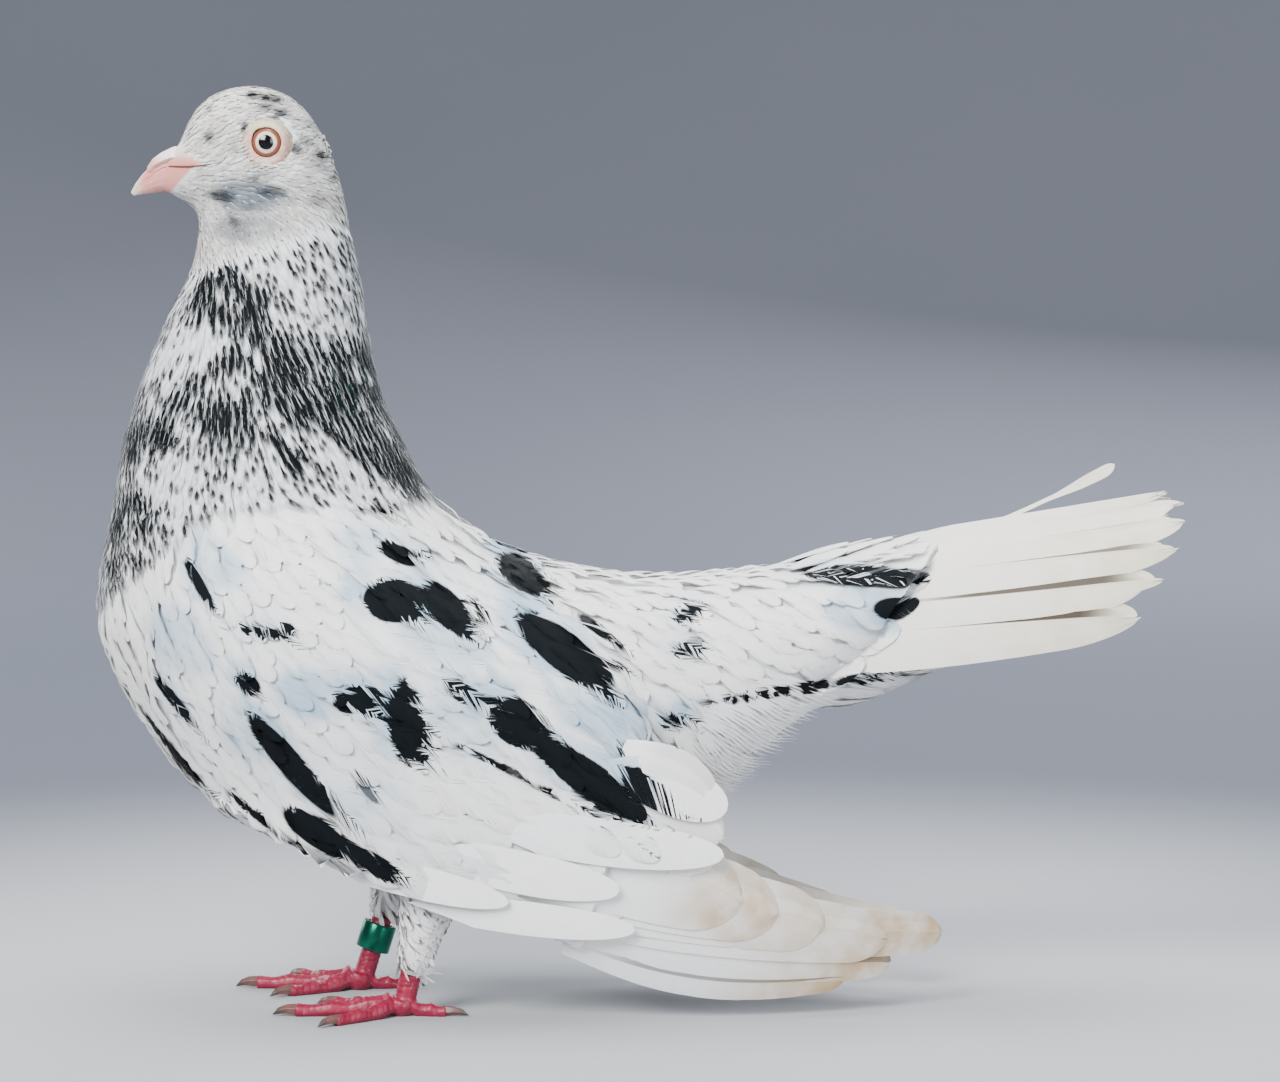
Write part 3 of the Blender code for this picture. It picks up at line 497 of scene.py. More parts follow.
def distances(points, edges, starts):
    """Shortest way over the mesh from the starting vertices, as a heap search."""
    links = [[] for _ in range(len(points))]
    lengths = np.linalg.norm(points[edges[:, 0]] - points[edges[:, 1]], axis=1)
    for (a, b), length in zip(edges.tolist(), lengths.tolist()):
        links[a].append((b, length))
        links[b].append((a, length))
    far = [math.inf] * len(points)
    heap = [(0.0, int(i)) for i in starts]
    for _, i in heap:
        far[i] = 0.0
    while heap:
        reach, i = heapq.heappop(heap)
        if reach > far[i]:
            continue
        for j, length in links[i]:
            if reach + length < far[j]:
                far[j] = reach + length
                heapq.heappush(heap, (far[j], j))
    found = np.array(far)
    found[~np.isfinite(found)] = found[np.isfinite(found)].max()
    return found


class Skin:
    """The joined skin: places, normals, the lie of the coat and the coat's depth, in millimetres."""

    def __init__(self):
        self.mesh = fused(((FLESH, JOIN_SWELL), (BILL_CORE, -CORE_SINKS)), VOXEL, SKIN_SOFTEN)
        outer, self.triangles, self.edges = arrays(self.mesh)
        self.part = nearest_parts(outer)
        normals = self.normals_of(outer)
        depth = np.array([COAT_DEPTH[name] for name in FLESH])[self.part]
        depth *= 1 - smooth(-1.5, 0.5, beside_bill(outer)) * (self.part == FLESH.index("head"))
        depth = averaged(depth, self.edges, DEPTH_ROUNDS) + JOIN_SWELL
        tree = self.tree_of(outer)
        inside = [tree.ray_cast(Vector(p), -Vector(n))[3] for p, n in
                  zip((outer - normals * 0.05).tolist(), normals.tolist())]
        thickness = np.array([99.0 if d is None else d for d in inside])
        depth = np.minimum(depth, np.maximum(0.0, thickness * THIN_SHARE))
        depth = averaged(depth, self.edges, 3)
        self.points = outer - normals * depth[:, None]
        self.depth = depth - JOIN_SWELL
        self.normals = self.normals_of(self.points)
        self.flow = self.lie_of_coat()
        self.mesh.vertices.foreach_set("co", (self.points.astype(np.float32) * MM).ravel())
        self.mesh.update()
        self.tree = self.tree_of(self.points)
        corners = self.triangles
        self.face_normal = unit(self.normals[corners].mean(1))
        self.face_flow = unit(self.flow[corners].mean(1))
        self.face_depth = self.depth[corners].mean(1)
        self.face_part = self.part[corners[:, 0]]
        self.face_away = self.away[corners].mean(1)
        edge_a = self.points[corners[:, 1]] - self.points[corners[:, 0]]
        edge_b = self.points[corners[:, 2]] - self.points[corners[:, 0]]
        self.face_area = np.linalg.norm(np.cross(edge_a, edge_b), axis=1) / 2

    def tree_of(self, points):
        return BVHTree.FromPolygons(points.tolist(), self.triangles.tolist())

    def normals_of(self, points):
        a, b, c = (points[self.triangles[:, k]] for k in range(3))
        face = np.cross(b - a, c - a)
        total = sum(gathered(self.triangles[:, k], face, len(points)) for k in range(3))
        return unit(averaged(unit(total), self.edges, 2))

    def lie_of_coat(self):
        """Direction in which the feathers lie: away from the bill, drawn towards the tail."""
        low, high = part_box("bill_upper")
        root = np.array((high.x, 0.0, (low.z + high.z) / 2)) / MM
        at_bill = np.linalg.norm(self.points - root, axis=1) < BILL_RADIUS
        on_head = self.part == FLESH.index("head")
        self.away = self.spread_from(on_head)
        drift = np.array([DRIFT[name] for name in FLESH])[self.part]
        drift = averaged(drift, self.edges, 8)[:, None] * np.array((1.0, 0.0, 0.0))
        flow = unit(self.slope_of(self.away)) + drift
        flow[on_head] = unit(self.slope_of(self.spread_from(at_bill)))[on_head]
        flow = averaged(unit(flow), self.edges, FLOW_ROUNDS)
        flow -= self.normals * (flow * self.normals).sum(1, keepdims=True)
        return unit(flow)

    def spread_from(self, chosen):
        """Smoothed distance over the skin from the chosen vertices."""
        return averaged(distances(self.points, self.edges, np.nonzero(chosen)[0]), self.edges, 10)

    def slope_of(self, values):
        """Steepest rise of some values over the skin, at each vertex."""
        a, b, c = (self.points[self.triangles[:, k]] for k in range(3))
        normal = np.cross(b - a, c - a)
        normal = normal / np.maximum(np.linalg.norm(normal, axis=1, keepdims=True), 1e-9)
        va, vb, vc = (values[self.triangles[:, k]][:, None] for k in range(3))
        slope = va * np.cross(normal, c - b) + vb * np.cross(normal, a - c) + vc * np.cross(normal, b - a)
        return sum(gathered(self.triangles[:, k], slope, len(self.points)) for k in range(3))

    def nearest(self, points):
        """Places and face indices on the skin nearest to points."""
        found = [self.tree.find_nearest(p) for p in points.tolist()]
        return np.array([tuple(f[0]) for f in found]), np.array([f[2] for f in found])


# ---------------------------------------------------------------- vanes

TRIES = 5                     # roots tried for each that fits
ROOM = 6.0                    # free height that a root needs
ROW_BAND = 0.42               # share of the step between rows in which roots lie


def in_rows(skin, step):
    """1 on faces that lie in rows across the coat's lie, `step` apart, else 0."""
    centre = skin.points[skin.triangles].mean(1)
    wave = 0.22 * step * (np.sin(centre[:, 2] / 5.3) + np.sin(centre[:, 0] / 6.1 + centre[:, 1] / 4.0))
    phase = ((skin.face_away + wave) / step) % 1.0
    return (phase < ROW_BAND).astype(float)


def scattered(skin, allowed, spacing):
    """Roots spread over the allowed faces at least `spacing` apart: places and faces."""
    weight = skin.face_area * allowed
    count = int(weight.sum() / spacing ** 2 * TRIES)
    faces = random.choice(len(weight), count, p=weight / weight.sum())
    a, b = random.random(count), random.random(count)
    fold = a + b > 1
    a[fold], b[fold] = 1 - a[fold], 1 - b[fold]
    corners = skin.points[skin.triangles[faces]]
    corner, beside, beyond = (corners[:, k] for k in range(3))
    places = corner + a[:, None] * (beside - corner) + b[:, None] * (beyond - corner)
    grid, kept = {}, []
    steps = (-1, 0, 1)
    around = [(i, j, k) for i in steps for j in steps for k in steps]
    least = spacing ** 2
    for index, (x, y, z) in enumerate(places.tolist()):
        cell = (int(x // spacing), int(y // spacing), int(z // spacing))
        for i, j, k in around:
            near = grid.get((cell[0] + i, cell[1] + j, cell[2] + k))
            if near and any((x - p) ** 2 + (y - q) ** 2 + (z - r) ** 2 < least for p, q, r in near):
                break
        else:
            grid.setdefault(cell, []).append((x, y, z))
            kept.append(index)
    return places[kept], faces[kept]


def open_roots(skin, places, faces):
    """Keeps the roots that nothing covers closely."""
    normals = skin.face_normal[faces]
    starts = places + normals * 0.6
    free = [skin.tree.ray_cast(Vector(p), Vector(n), ROOM)[0] is None
            for p, n in zip(starts.tolist(), normals.tolist())]
    return places[free], faces[free]


class Lines:
    """Centre lines of feathers, followed over the skin from their roots."""

    def __init__(self, skin, places, faces, length, steps, turn=0.0):
        normal, flow = skin.face_normal[faces], skin.face_flow[faces]
        across = np.cross(normal, flow)
        angle = random.normal(0.0, 1.0, len(places))[:, None] * turn
        flow = unit(flow * np.cos(angle) + across * np.sin(angle))
        self.points, self.normals, self.flows = [places], [normal], [flow]
        self.depth = skin.face_depth[faces]
        step = (length / steps)[:, None]
        place = places
        for _ in range(steps):
            ahead = place + flow * step
            landed, index = skin.nearest(ahead)
            new_normal = skin.face_normal[index]
            new_flow = skin.face_flow[index]
            held = (flow * new_flow).sum(1, keepdims=True)
            turned = unit(new_flow * 0.5 + flow)
            turned = unit(turned - new_normal * (turned * new_normal).sum(1, keepdims=True))
            lost = (np.linalg.norm(landed - ahead, axis=1, keepdims=True) > 0.45 * step) | (held < 0.2)
            place = np.where(lost, ahead, landed)
            normal = np.where(lost, normal, unit(normal * 0.3 + new_normal))
            flow = np.where(lost, flow, turned)
            self.points.append(place)
            self.normals.append(normal)
            self.flows.append(flow)
        self.points, self.normals, self.flows = (
            np.stack(part, 1) for part in (self.points, self.normals, self.flows))

    def at(self, shares):
        """Point, normal and direction at the given shares of the length."""
        count = self.points.shape[1]
        mix = np.zeros((len(shares), count))
        for row, share in enumerate(shares):
            level = min(max(share, 0.0), 1.0) * (count - 1)
            low = min(int(level), count - 2)
            mix[row, low] = 1 - (level - low)
            mix[row, low + 1] = level - low
        return tuple(np.einsum("ks,nsd->nkd", mix, part) for part in (self.points, self.normals, self.flows))


FRINGE = 0.84                 # share of a vane's half width where its barbs part


def barb_plan(barbs, sweep, belly, tip, free, start=0.0):
    """Shares along and across one vane for the corners of its barbs, and each corner's barb.

    A barb is two quads from the shaft to the vane's outline, narrowed to `free` of its width at
    the end.  sweep is how far it slants towards the tip; belly and tip shape the outline's root and
    end.  Barbs begin at `start`, as what lies ahead of it is hidden by other feathers.
    """
    along, across, barb = [], [], []

    def half(share):
        return share ** belly * math.sqrt(max(0.0, 1 - share ** tip))

    for side in (-1, 1):
        for j in range(barbs):
            root = [start + (1 - start) * k / barbs for k in (j, j + 1)]
            stop = [r + sweep * (1 - r) for r in root]
            centre, width = sum(stop) / 2, (stop[1] - stop[0]) / 2 * free
            stop = [centre - width, centre + width]
            edge = [root[k] + sweep * (1 - root[k]) for k in (0, 1)]
            middle = [r + (e - r) * FRINGE for r, e in zip(root, edge)]
            levels = ((root, 0.0), (middle, FRINGE), (stop, 1.0))
            for (near, v0), (far, v1) in zip(levels, levels[1:]):
                for share, v in ((near[0], v0), (near[1], v0), (far[1], v1), (far[0], v1)):
                    along.append(share)
                    across.append(side * v * half(share))
            barb += [side * (j + 1) + barbs] * 8
    return np.array(along), np.array(across), np.array(barb)


def strand_plan(strands, levels, fan, point):
    """Narrow strands side by side, drawn together at the root and to a point at the tip.

    fan is how soon they spread from the root, and point how late they narrow.
    """
    along, across, barb = [], [], []
    for k in range(strands):
        centre = (k + 0.5) / strands * 2 - 1
        reach = 1 - 0.30 * centre ** 2
        for i in range(levels):
            for s, side in ((i, -1), (i, 1), (i + 1, 1), (i + 1, -1)):
                s = s / levels
                width = (1 - s ** point) * (0.45 + 0.55 * math.sin(math.pi * min(1.0, 0.15 + s))) / strands
                along.append(s * reach)
                across.append(centre * (0.30 + 0.70 * s) ** fan + side * width)
                barb.append(k)
    return np.array(along), np.array(across), np.array(barb)


# The barbs of contour feathers, firm wing coverts, closed smooth feathers and down
SOFT = barb_plan(22, 0.72, 0.36, 2.4, 0.70, 0.08)
FIRM = barb_plan(26, 0.72, 0.32, 2.8, 0.70, 0.08)
CLOSED = barb_plan(60, 0.30, 0.32, 2.8, 1.0, 0.04)
FLUFF = barb_plan(7, 0.62, 0.42, 2.0, 0.85)
MOST_TRIANGLES = 180_000      # of one piece of the coat
SOFT_NORMAL = 0.86            # share of the skin's own normal in the shading of the coat
LENGTHS = (0.85, 1.12)        # shortest and longest feather of a zone, as shares of its length
WIDTHS = (0.88, 1.1)
UNEVEN = (0.95, 1.04)         # least and most of a barb's length, as shares of the feather's half width
LEAST_DEPTH = 0.25            # of the coat where feathers lie, in mm
PALE_INK = 0.1                # of the barbs that a faint mark leaves out
BEND = (0.12, 0.10)           # how far feathers are shaded as rounded across, and towards the tip
TILT = 0.035                  # how unevenly their barbs are shaded
ROUNDING = 2.2                # how soon a feather reaches its height
CUP = 0.12                    # how far its sides curve down, as a share of the coat's depth
LOOSE = 0.02                  # how unevenly its barbs lie, in mm
CHART_FRAY = 1.4              # how jagged marks are on feathers laid on a chart, in mm


def outward_quads(points, normals):
    """Quads of four points each, wound to face along the normals, and each corner's own normal."""
    quads = np.arange(len(points)).reshape(-1, 4)
    a, b, c, d = (points[quads[:, k]] for k in range(4))
    own = unit(np.cross(c - a, d - b))
    inward = (own * normals[quads[:, 0]]).sum(1) < 0
    quads[inward] = quads[inward, ::-1]
    own[inward] *= -1
    return quads, np.repeat(own, 4, axis=0)


def set_normals(obj, normals):
    """Shades the mesh by the given normals, one for each vertex."""
    obj.data.shade_smooth()
    obj.data.normals_split_custom_set_from_vertices(normals.astype(np.float32))


def lay(skin, name, places, faces, plan, length, width, material, slot, marks="body", steps=4,
        turn=0.08, fray=2.0, rise=(0.0, 1.0), lift=0.0, settle=0.42, soft=SOFT_NORMAL):
    """Joined meshes of feathers.

    turn is how unevenly they lie, in radians; fray how jagged the edges of marks are, in mm; rise the
    height of root and tip as shares of the coat's depth; lift how far tips stand up, in mm; settle how
    far they sink again, as a share of the depth; and soft how much they are shaded as one surface.
    """
    along, across, barb = plan
    corners, barbs = len(along), barb.max() + 1
    pieces = max(1, math.ceil(len(places) * corners / 2 / MOST_TRIANGLES))
    order = np.argsort(places[:, 1] + 0.2 * places[:, 0])
    for number, chosen in enumerate(np.array_split(order, pieces)):
        spots, owners, count = places[chosen], faces[chosen], len(chosen)
        sizes = length * random.uniform(*LENGTHS, count)
        lines = Lines(skin, spots, owners, sizes, steps, turn)
        point, normal, flow = lines.at(along)
        sideways = np.cross(normal, flow)
        reach = random.uniform(*UNEVEN, (count, barbs))[:, barb]
        half = (width / 2) * random.uniform(*WIDTHS, (count, 1)) * reach
        depth = np.maximum(lines.depth, LEAST_DEPTH)[:, None]
        low, high = rise
        share = np.clip(along, 0, 1)[None, :]
        risen = low + (high - low) * (1 - (1 - share) ** ROUNDING)
        height = depth * (risen - settle * smooth(0.7, 1.0, share))
        height = height + random.normal(0, 0.04, (count, 1)) * depth + lift * share ** 2
        height = height - CUP * across[None, :] ** 2 * depth / 2
        height = height + random.uniform(-LOOSE, LOOSE, (count, barbs))[:, barb] * share
        place = point + normal * height[..., None] + sideways * (across[None, :] * half)[..., None]
        label = name if pieces == 1 else f"{name}_{number + 1}"
        coat_piece(skin, label, place, normal, flow, plan, spots, owners, material, marks, fray, soft)


def coat_piece(skin, label, place, normal, flow, plan, spots, owners, material, marks, fray, soft):
    """One mesh of feathers from the places, normals and lie of all their corners.

    spots and owners are the feathers' roots and the skin's faces under them.
    """
    along, across, barb = plan
    count, corners, barbs = len(spots), len(along), barb.max() + 1
    share = np.clip(along, 0, 1)[None, :]
    sideways = np.cross(normal, flow)
    flat = place.reshape(-1, 3)
    quads, own = outward_quads(flat, normal.reshape(-1, 3))
    obj = mesh_object(label, flat, quads, material)
    bend = across[None, :, None] * sideways * BEND[0] + flow * (share ** 3 * BEND[1])[..., None]
    tilt = random.normal(0, TILT, (count, barbs))[:, barb][..., None] * sideways
    smooth_part = unit(normal + bend + tilt).reshape(-1, 3)
    set_normals(obj, unit(smooth_part * soft + own * (1 - soft)))
    jitter = random.uniform(-1, 1, (count, barbs))[:, barb].reshape(-1)
    tone = np.repeat(random.random(count), corners) * 0.6 + 0.4 * np.abs(jitter)
    if marks == "body":
        drawn = random.uniform(0.0, 0.5, (count, barbs))[:, barb].reshape(-1)
        edge, ink, blue = body_marks(flat, flow.reshape(-1, 3), jitter * fray, drawn)
        chance = random.random((count, barbs))[:, barb].reshape(-1)
        ink = np.where(chance < 1.05 * ink, 1.0, PALE_INK)
    elif marks == "head":
        edge, ink, blue = head_marks(flat, jitter * fray)
        above = over_neck(flat)
        tone *= above
        blue *= above
    else:
        edge, ink, blue = streaks(spots, plan)
    add_values(obj, mark=edge, ink=ink, blue=blue, tone=tone, along=np.tile(along, count))
    patch = np.stack((across / 2, np.clip(along, 0, 1) - 0.5), 1) * PATCH
    add_uv(obj, (skin.face_uv[owners][:, None, :] + patch[None, :, :]).reshape(-1, 2))


def lay_on_chart(skin, name, chart, feathers, plan, material, soft=SOFT_NORMAL, even=UNEVEN):
    """Feathers laid on a chart, which turns (a, b, height) into places.

    Each feather is root (a, b), length, width, height at root and tip, and slope; even is the least
    and most of a barb's share of the width.
    """
    along, across, barb = plan
    count, barbs = len(feathers), barb.max() + 1
    a, b, length, width, low, high, slope = (column[:, None] for column in np.array(feathers).T)
    ahead, aside = np.cos(np.radians(slope)), np.sin(np.radians(slope))
    half = width / 2 * random.uniform(*even, (count, barbs))[:, barb]
    share = np.clip(along, 0, 1)[None, :]
    height = low + (high - low) * (1 - (1 - share) ** 1.7)
    run, off = share * length, across[None, :] * half
    flat = np.stack((a + run * ahead - off * aside, b + run * aside + off * ahead, height), 2).reshape(-1, 3)
    place = chart(flat)
    step = 0.5 * np.stack((ahead, aside, 0.0 * ahead), 2) * np.ones((1, len(along), 1))
    flow = unit(chart(flat + step.reshape(-1, 3)) - place)
    normal = unit(chart(flat + (0.0, 0.0, 0.5)) - place)
    shape = (count, len(along), 3)
    spots, owners = skin.nearest(chart(np.concatenate((a, b, low), 1)))
    coat_piece(skin, name, place.reshape(shape), normal.reshape(shape), flow.reshape(shape), plan, spots,
               owners, material, "body", CHART_FRAY, soft)


def streaks(places, plan):
    """Grizzled hackles: a black drop on white, which fills the feather where the neck is darkest."""
    along, across, barb = plan
    count, barbs = len(places), barb.max() + 1
    dark = neck_darkness(places)[:, None]
    low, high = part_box("neck")
    middle = (low.x + high.x) / 2 / MM
    arc = NECK_GIRTH * np.arctan2(places[:, 1], places[:, 0] - middle)[:, None]
    level = places[:, 2][:, None]
    wave = np.sin(3.1 * arc + 2.0 * np.sin(level * 0.45)) * np.sin(1.15 * level + 1.7 * np.sin(arc * 0.8))
    chance = 0.6 * random.random((count, 1)) + 0.4 * (0.5 + 0.5 * wave)
    is_dark = chance < 0.20 + 0.84 * dark
    full = smooth(0.60, 0.95, dark)
    breadth = (0.62 + 0.18 * full) * random.uniform(0.8, 1.2, (count, 1))
    start = 0.34 - 0.4 * full + random.uniform(-0.12, 0.12, (count, barbs))[:, barb]
    stop = 0.92 + 0.14 * full + random.uniform(-0.09, 0.07, (count, barbs))[:, barb]
    share = along[None, :]
    shape = smooth(0.0, 0.22, share - start) * smooth(0.0, 0.14, stop - share)
    edge = np.where(is_dark, np.abs(across)[None, :] - breadth * shape + 0.03, 1.0)
    ink = np.ones_like(edge)
    blue = 0.25 * random.random((count, 1)) + np.zeros_like(edge)
    return edge.reshape(-1), ink.reshape(-1), blue.reshape(-1)


# ---------------------------------------------------------------- materials

def new_material(name, roughness, **constants):
    """A node material; numbers that are the same all over are set on the shader's own sockets."""
    made = bpy.data.materials.new(name)
    made.use_nodes = True
    shader = made.node_tree.nodes["Principled BSDF"]
    shader.inputs["Roughness"].default_value = roughness
    for key, value in constants.items():
        shader.inputs[key.replace("_", " ")].default_value = value
    return made, made.node_tree, shader


def add(tree, kind, settings=None, **sockets):
    """A node with its settings, and its sockets set to values or linked to other nodes' outputs."""
    made = tree.nodes.new(kind)
    for key, value in (settings or {}).items():
        setattr(made, key, value)
    for key, value in sockets.items():
        name = key.replace("_", " ")
        socket = made.inputs[int(key[1:])] if key[0] == "i" and key[1:].isdigit() else made.inputs[name]
        if isinstance(value, bpy.types.NodeSocket):
            tree.links.new(value, socket)
        else:
            socket.default_value = value
    return made


def colour(value):
    """A colour with its alpha, or a node's output as it is."""
    return (*value, 1.0) if isinstance(value, tuple) and len(value) == 3 else value


def blend(tree, a, b, share):
    """Colour between a and b."""
    made = add(tree, "ShaderNodeMix", {"data_type": "RGBA"}, i0=share, i6=colour(a), i7=colour(b))
    return made.outputs[2]


def value_of(tree, name):
    """A named value of the mesh, from add_values."""
    return add(tree, "ShaderNodeAttribute", {"attribute_name": name}).outputs["Fac"]


def sums(tree, operation, a, b, c=0.0, clamp=False):
    """Result of a Math node."""
    made = add(tree, "ShaderNodeMath", {"operation": operation, "use_clamp": clamp}, i0=a, i1=b, i2=c)
    return made.outputs[0]


def ranged(tree, value, low, high, start=0.0, stop=1.0):
    """Smooth step from start to stop while the value goes from low to high."""
    made = add(tree, "ShaderNodeMapRange", {"interpolation_type": "SMOOTHSTEP"}, Value=value,
               From_Min=low, From_Max=high, To_Min=start, To_Max=stop)
    return made.outputs["Result"]


def noise(tree, scale, detail=2.0):
    """Cloudy noise in the bird's own space; a higher scale is finer."""
    where = add(tree, "ShaderNodeTexCoord").outputs["Object"]
    return add(tree, "ShaderNodeTexNoise", None, Vector=where, Scale=scale, Detail=detail).outputs["Fac"]


def bumped(tree, shader, height, distance, strength=1.0):
    """Gives the shader a bump of some distance in metres."""
    made = add(tree, "ShaderNodeBump", None, Height=height, Distance=distance, Strength=strength)
    tree.links.new(made.outputs["Normal"], shader.inputs["Normal"])


def near_spot(tree, u, w, radius):
    """1 at a side-view place, falling to 0 at radius."""
    x, z = spot(u, w)
    place = add(tree, "ShaderNodeTexCoord").outputs["Object"]
    flat = add(tree, "ShaderNodeVectorMath", {"operation": "MULTIPLY"}, i0=place, i1=(1.0, 0.0, 1.0))
    away = add(tree, "ShaderNodeVectorMath", {"operation": "DISTANCE"}, i0=flat.outputs[0],
               i1=(x * MM, 0.0, z * MM))
    return ranged(tree, away.outputs["Value"], radius * MM, 0.3 * radius * MM)


def plumage(name, warmth=0.2, soft=0.3, green_sheen=False, bare=False, warm_colour=WARM_WHITE,
            blue_colour=PALE_BLUE, root_shade=0.12):
    """Feathers: white, blue-grey at the base of dark marks, black where the mark values fall below 0."""
    material, tree, shader = new_material(name, 0.68, Sheen_Weight=0.015, Sheen_Roughness=0.5,
                                          Specular_IOR_Level=0.08)
    mark, ink, blue, tone, along = (value_of(tree, key) for key in ("mark", "ink", "blue", "tone", "along"))
    patches = noise(tree, 55.0)
    fine = noise(tree, 700.0)
    warm = sums(tree, "MULTIPLY", sums(tree, "MULTIPLY_ADD", patches, 2.0 * warmth, warmth), tone)
    base = blend(tree, WHITE, warm_colour, warm)
    # painted shade towards each feather's root, where it lies under the feathers above; added to the real
    # blue-grey marks
    shade = sums(tree, "MULTIPLY", ranged(tree, along, 0.75, 0.0), root_shade)
    blue_and_shade = sums(tree, "MULTIPLY_ADD", blue, ranged(tree, patches, 0.2, 0.6), shade)
    base = blend(tree, base, blue_colour, blue_and_shade)
    dark = ranged(tree, mark, soft, -soft)
    dark = sums(tree, "MULTIPLY", dark, sums(tree, "MULTIPLY_ADD", fine, 0.12, ink), clamp=True)
    black = BLACK
    # painted green sheen on the black feathers round one spot of the neck
    if green_sheen:
        glossy = ranged(tree, tone, 0.5, 0.9)
        sheen = sums(tree, "MULTIPLY", near_spot(tree, *SHEEN_SPOT, SHEEN_REACH), glossy)
        black = blend(tree, BLACK, PAINTED_SHEEN_GREEN, sheen)
    result = blend(tree, base, black, dark)
    if bare:
        naked = blend(tree, BARE_PINK, BARE_PALE, value_of(tree, "pale"))
        result = blend(tree, result, naked, value_of(tree, "bare"))
    tree.links.new(result, shader.inputs["Base Color"])
    return material


def vane_material(name, pale, stained, stain_name):
    """Flight feathers: fine barbs at a slant to the shaft, a paler shaft and stained tips."""
    material, tree, shader = new_material(name, 0.5, Sheen_Weight=0.08, Specular_IOR_Level=0.35)
    stain, across, barbs, tone = (value_of(tree, key) for key in (stain_name, "across", "barbs", "tone"))
    cloud = noise(tree, 120.0, 4.0)
    amount = sums(tree, "MULTIPLY", stain, ranged(tree, cloud, 0.3, 0.7, 0.45, 1.0))
    base = blend(tree, pale, stained, amount)
    base = blend(tree, base, WARM_WHITE, sums(tree, "MULTIPLY", tone, 0.4))
    stripe = sums(tree, "SINE", sums(tree, "MULTIPLY", barbs, 12.0), 0.0)
    base = blend(tree, base, (0.45, 0.43, 0.40), ranged(tree, stripe, 0.2, 1.0, 0.0, 0.05))
    shaft = ranged(tree, sums(tree, "ABSOLUTE", across, 0.0), 0.07, 0.03)
    stained_shaft = sums(tree, "MULTIPLY", shaft, sums(tree, "MULTIPLY", stain, 0.5))
    base = blend(tree, base, (0.62, 0.52, 0.38), stained_shaft)
    # painted shade where each feather lies under its neighbour, from the gap and under values
    under = ranged(tree, value_of(tree, "under"), 0.0, 0.06)
    base = blend(tree, base, PAINTED_GAP_SHADE, sums(tree, "MULTIPLY", under, value_of(tree, "gap")))
    tree.links.new(base, shader.inputs["Base Color"])
    bumped(tree, shader, stripe, 0.00004, 0.35)
    return material


def eye_material():
    """Pupil, pearl ring and orange-red outer ring, round the eye's own axis."""
    material, tree, shader = new_material("eye_rings", 0.16, Coat_Weight=0.4, Coat_Roughness=0.03,
                                          Specular_IOR_Level=0.3)
    place = add(tree, "ShaderNodeTexCoord").outputs["Object"]
    flat = add(tree, "ShaderNodeVectorMath", {"operation": "MULTIPLY"}, i0=place, i1=(1.0, 0.0, 1.0))
    reach = add(tree, "ShaderNodeVectorMath", {"operation": "LENGTH"}, i0=flat.outputs[0]).outputs["Value"]
    wobble = sums(tree, "MULTIPLY_ADD", noise(tree, 900.0), 0.00025, -0.000125)
    radius = sums(tree, "MULTIPLY", sums(tree, "ADD", reach, wobble), 200.0)
    ramp = add(tree, "ShaderNodeValToRGB", None, Fac=radius)
    stops = ((0.0, (0.002, 0.002, 0.002)), (0.375, (0.002, 0.002, 0.002)), (0.400, (0.60, 0.50, 0.40)),
             (0.52, (0.78, 0.68, 0.58)), (0.565, (0.50, 0.30, 0.18)), (0.61, (0.19, 0.068, 0.040)),
             (0.70, (0.22, 0.068, 0.042)), (0.77, (0.07, 0.020, 0.014)), (0.95, (0.02, 0.006, 0.005)))
    elements = ramp.color_ramp.elements
    elements[0].position, elements[0].color = stops[0][0], (*stops[0][1], 1)
    elements[1].position, elements[1].color = stops[-1][0], (*stops[-1][1], 1)
    for position, shade in stops[1:-1]:
        elements.new(position).color = (*shade, 1)
    streaky = noise(tree, 2600.0, 3.0)
    streaks_seen = ranged(tree, streaky, 0.62, 0.8, 0.0, 0.5)
    result = blend(tree, ramp.outputs["Color"], (0.02, 0.006, 0.004), streaks_seen)
    tree.links.new(result, shader.inputs["Base Color"])
    return material


def flesh_material(name, base, other, scale, roughness=0.5, bump=0.00008, tip=None, rim=None):
    """Bare skin or horn: two mottled colours, fine wrinkles, and others towards a tip and a rim."""
    material, tree, shader = new_material(name, roughness, Subsurface_Weight=0.1, Subsurface_Scale=0.001)
    cloud = noise(tree, scale, 4.0)
    result = blend(tree, base, other, ranged(tree, cloud, 0.35, 0.65))
    if tip:
        result = blend(tree, result, tip, value_of(tree, "tip"))
    if rim:
        spread = ranged(tree, noise(tree, 1300.0, 3.0), 0.35, 0.6)
        result = blend(tree, result, rim, sums(tree, "MULTIPLY", spread, value_of(tree, "rim")))
    tree.links.new(result, shader.inputs["Base Color"])
    bumped(tree, shader, noise(tree, scale * 5, 3.0), bump)
    return material


def foot_material():
    """Crimson scales with pale dusty patches, darker in the grooves by painted shade."""
    material, tree, shader = new_material("foot_scales", 0.42, Subsurface_Weight=0.06,
                                          Subsurface_Scale=0.001)
    groove = value_of(tree, "groove")
    result = blend(tree, (0.20, 0.002, 0.024), (0.31, 0.010, 0.052), noise(tree, 260.0, 3.0))
    # painted shade in the grooves between the scales and between the pads' grains
    result = blend(tree, result, (0.09, 0.004, 0.010), sums(tree, "MULTIPLY", groove, 0.75))
    wear = ranged(tree, noise(tree, 900.0, 4.0), 0.6, 0.75, 0.0, 0.25)
    result = blend(tree, result, (0.66, 0.36, 0.34), wear)
    tree.links.new(result, shader.inputs["Base Color"])
    bumped(tree, shader, noise(tree, 1500.0, 3.0), 0.00008)
    return material


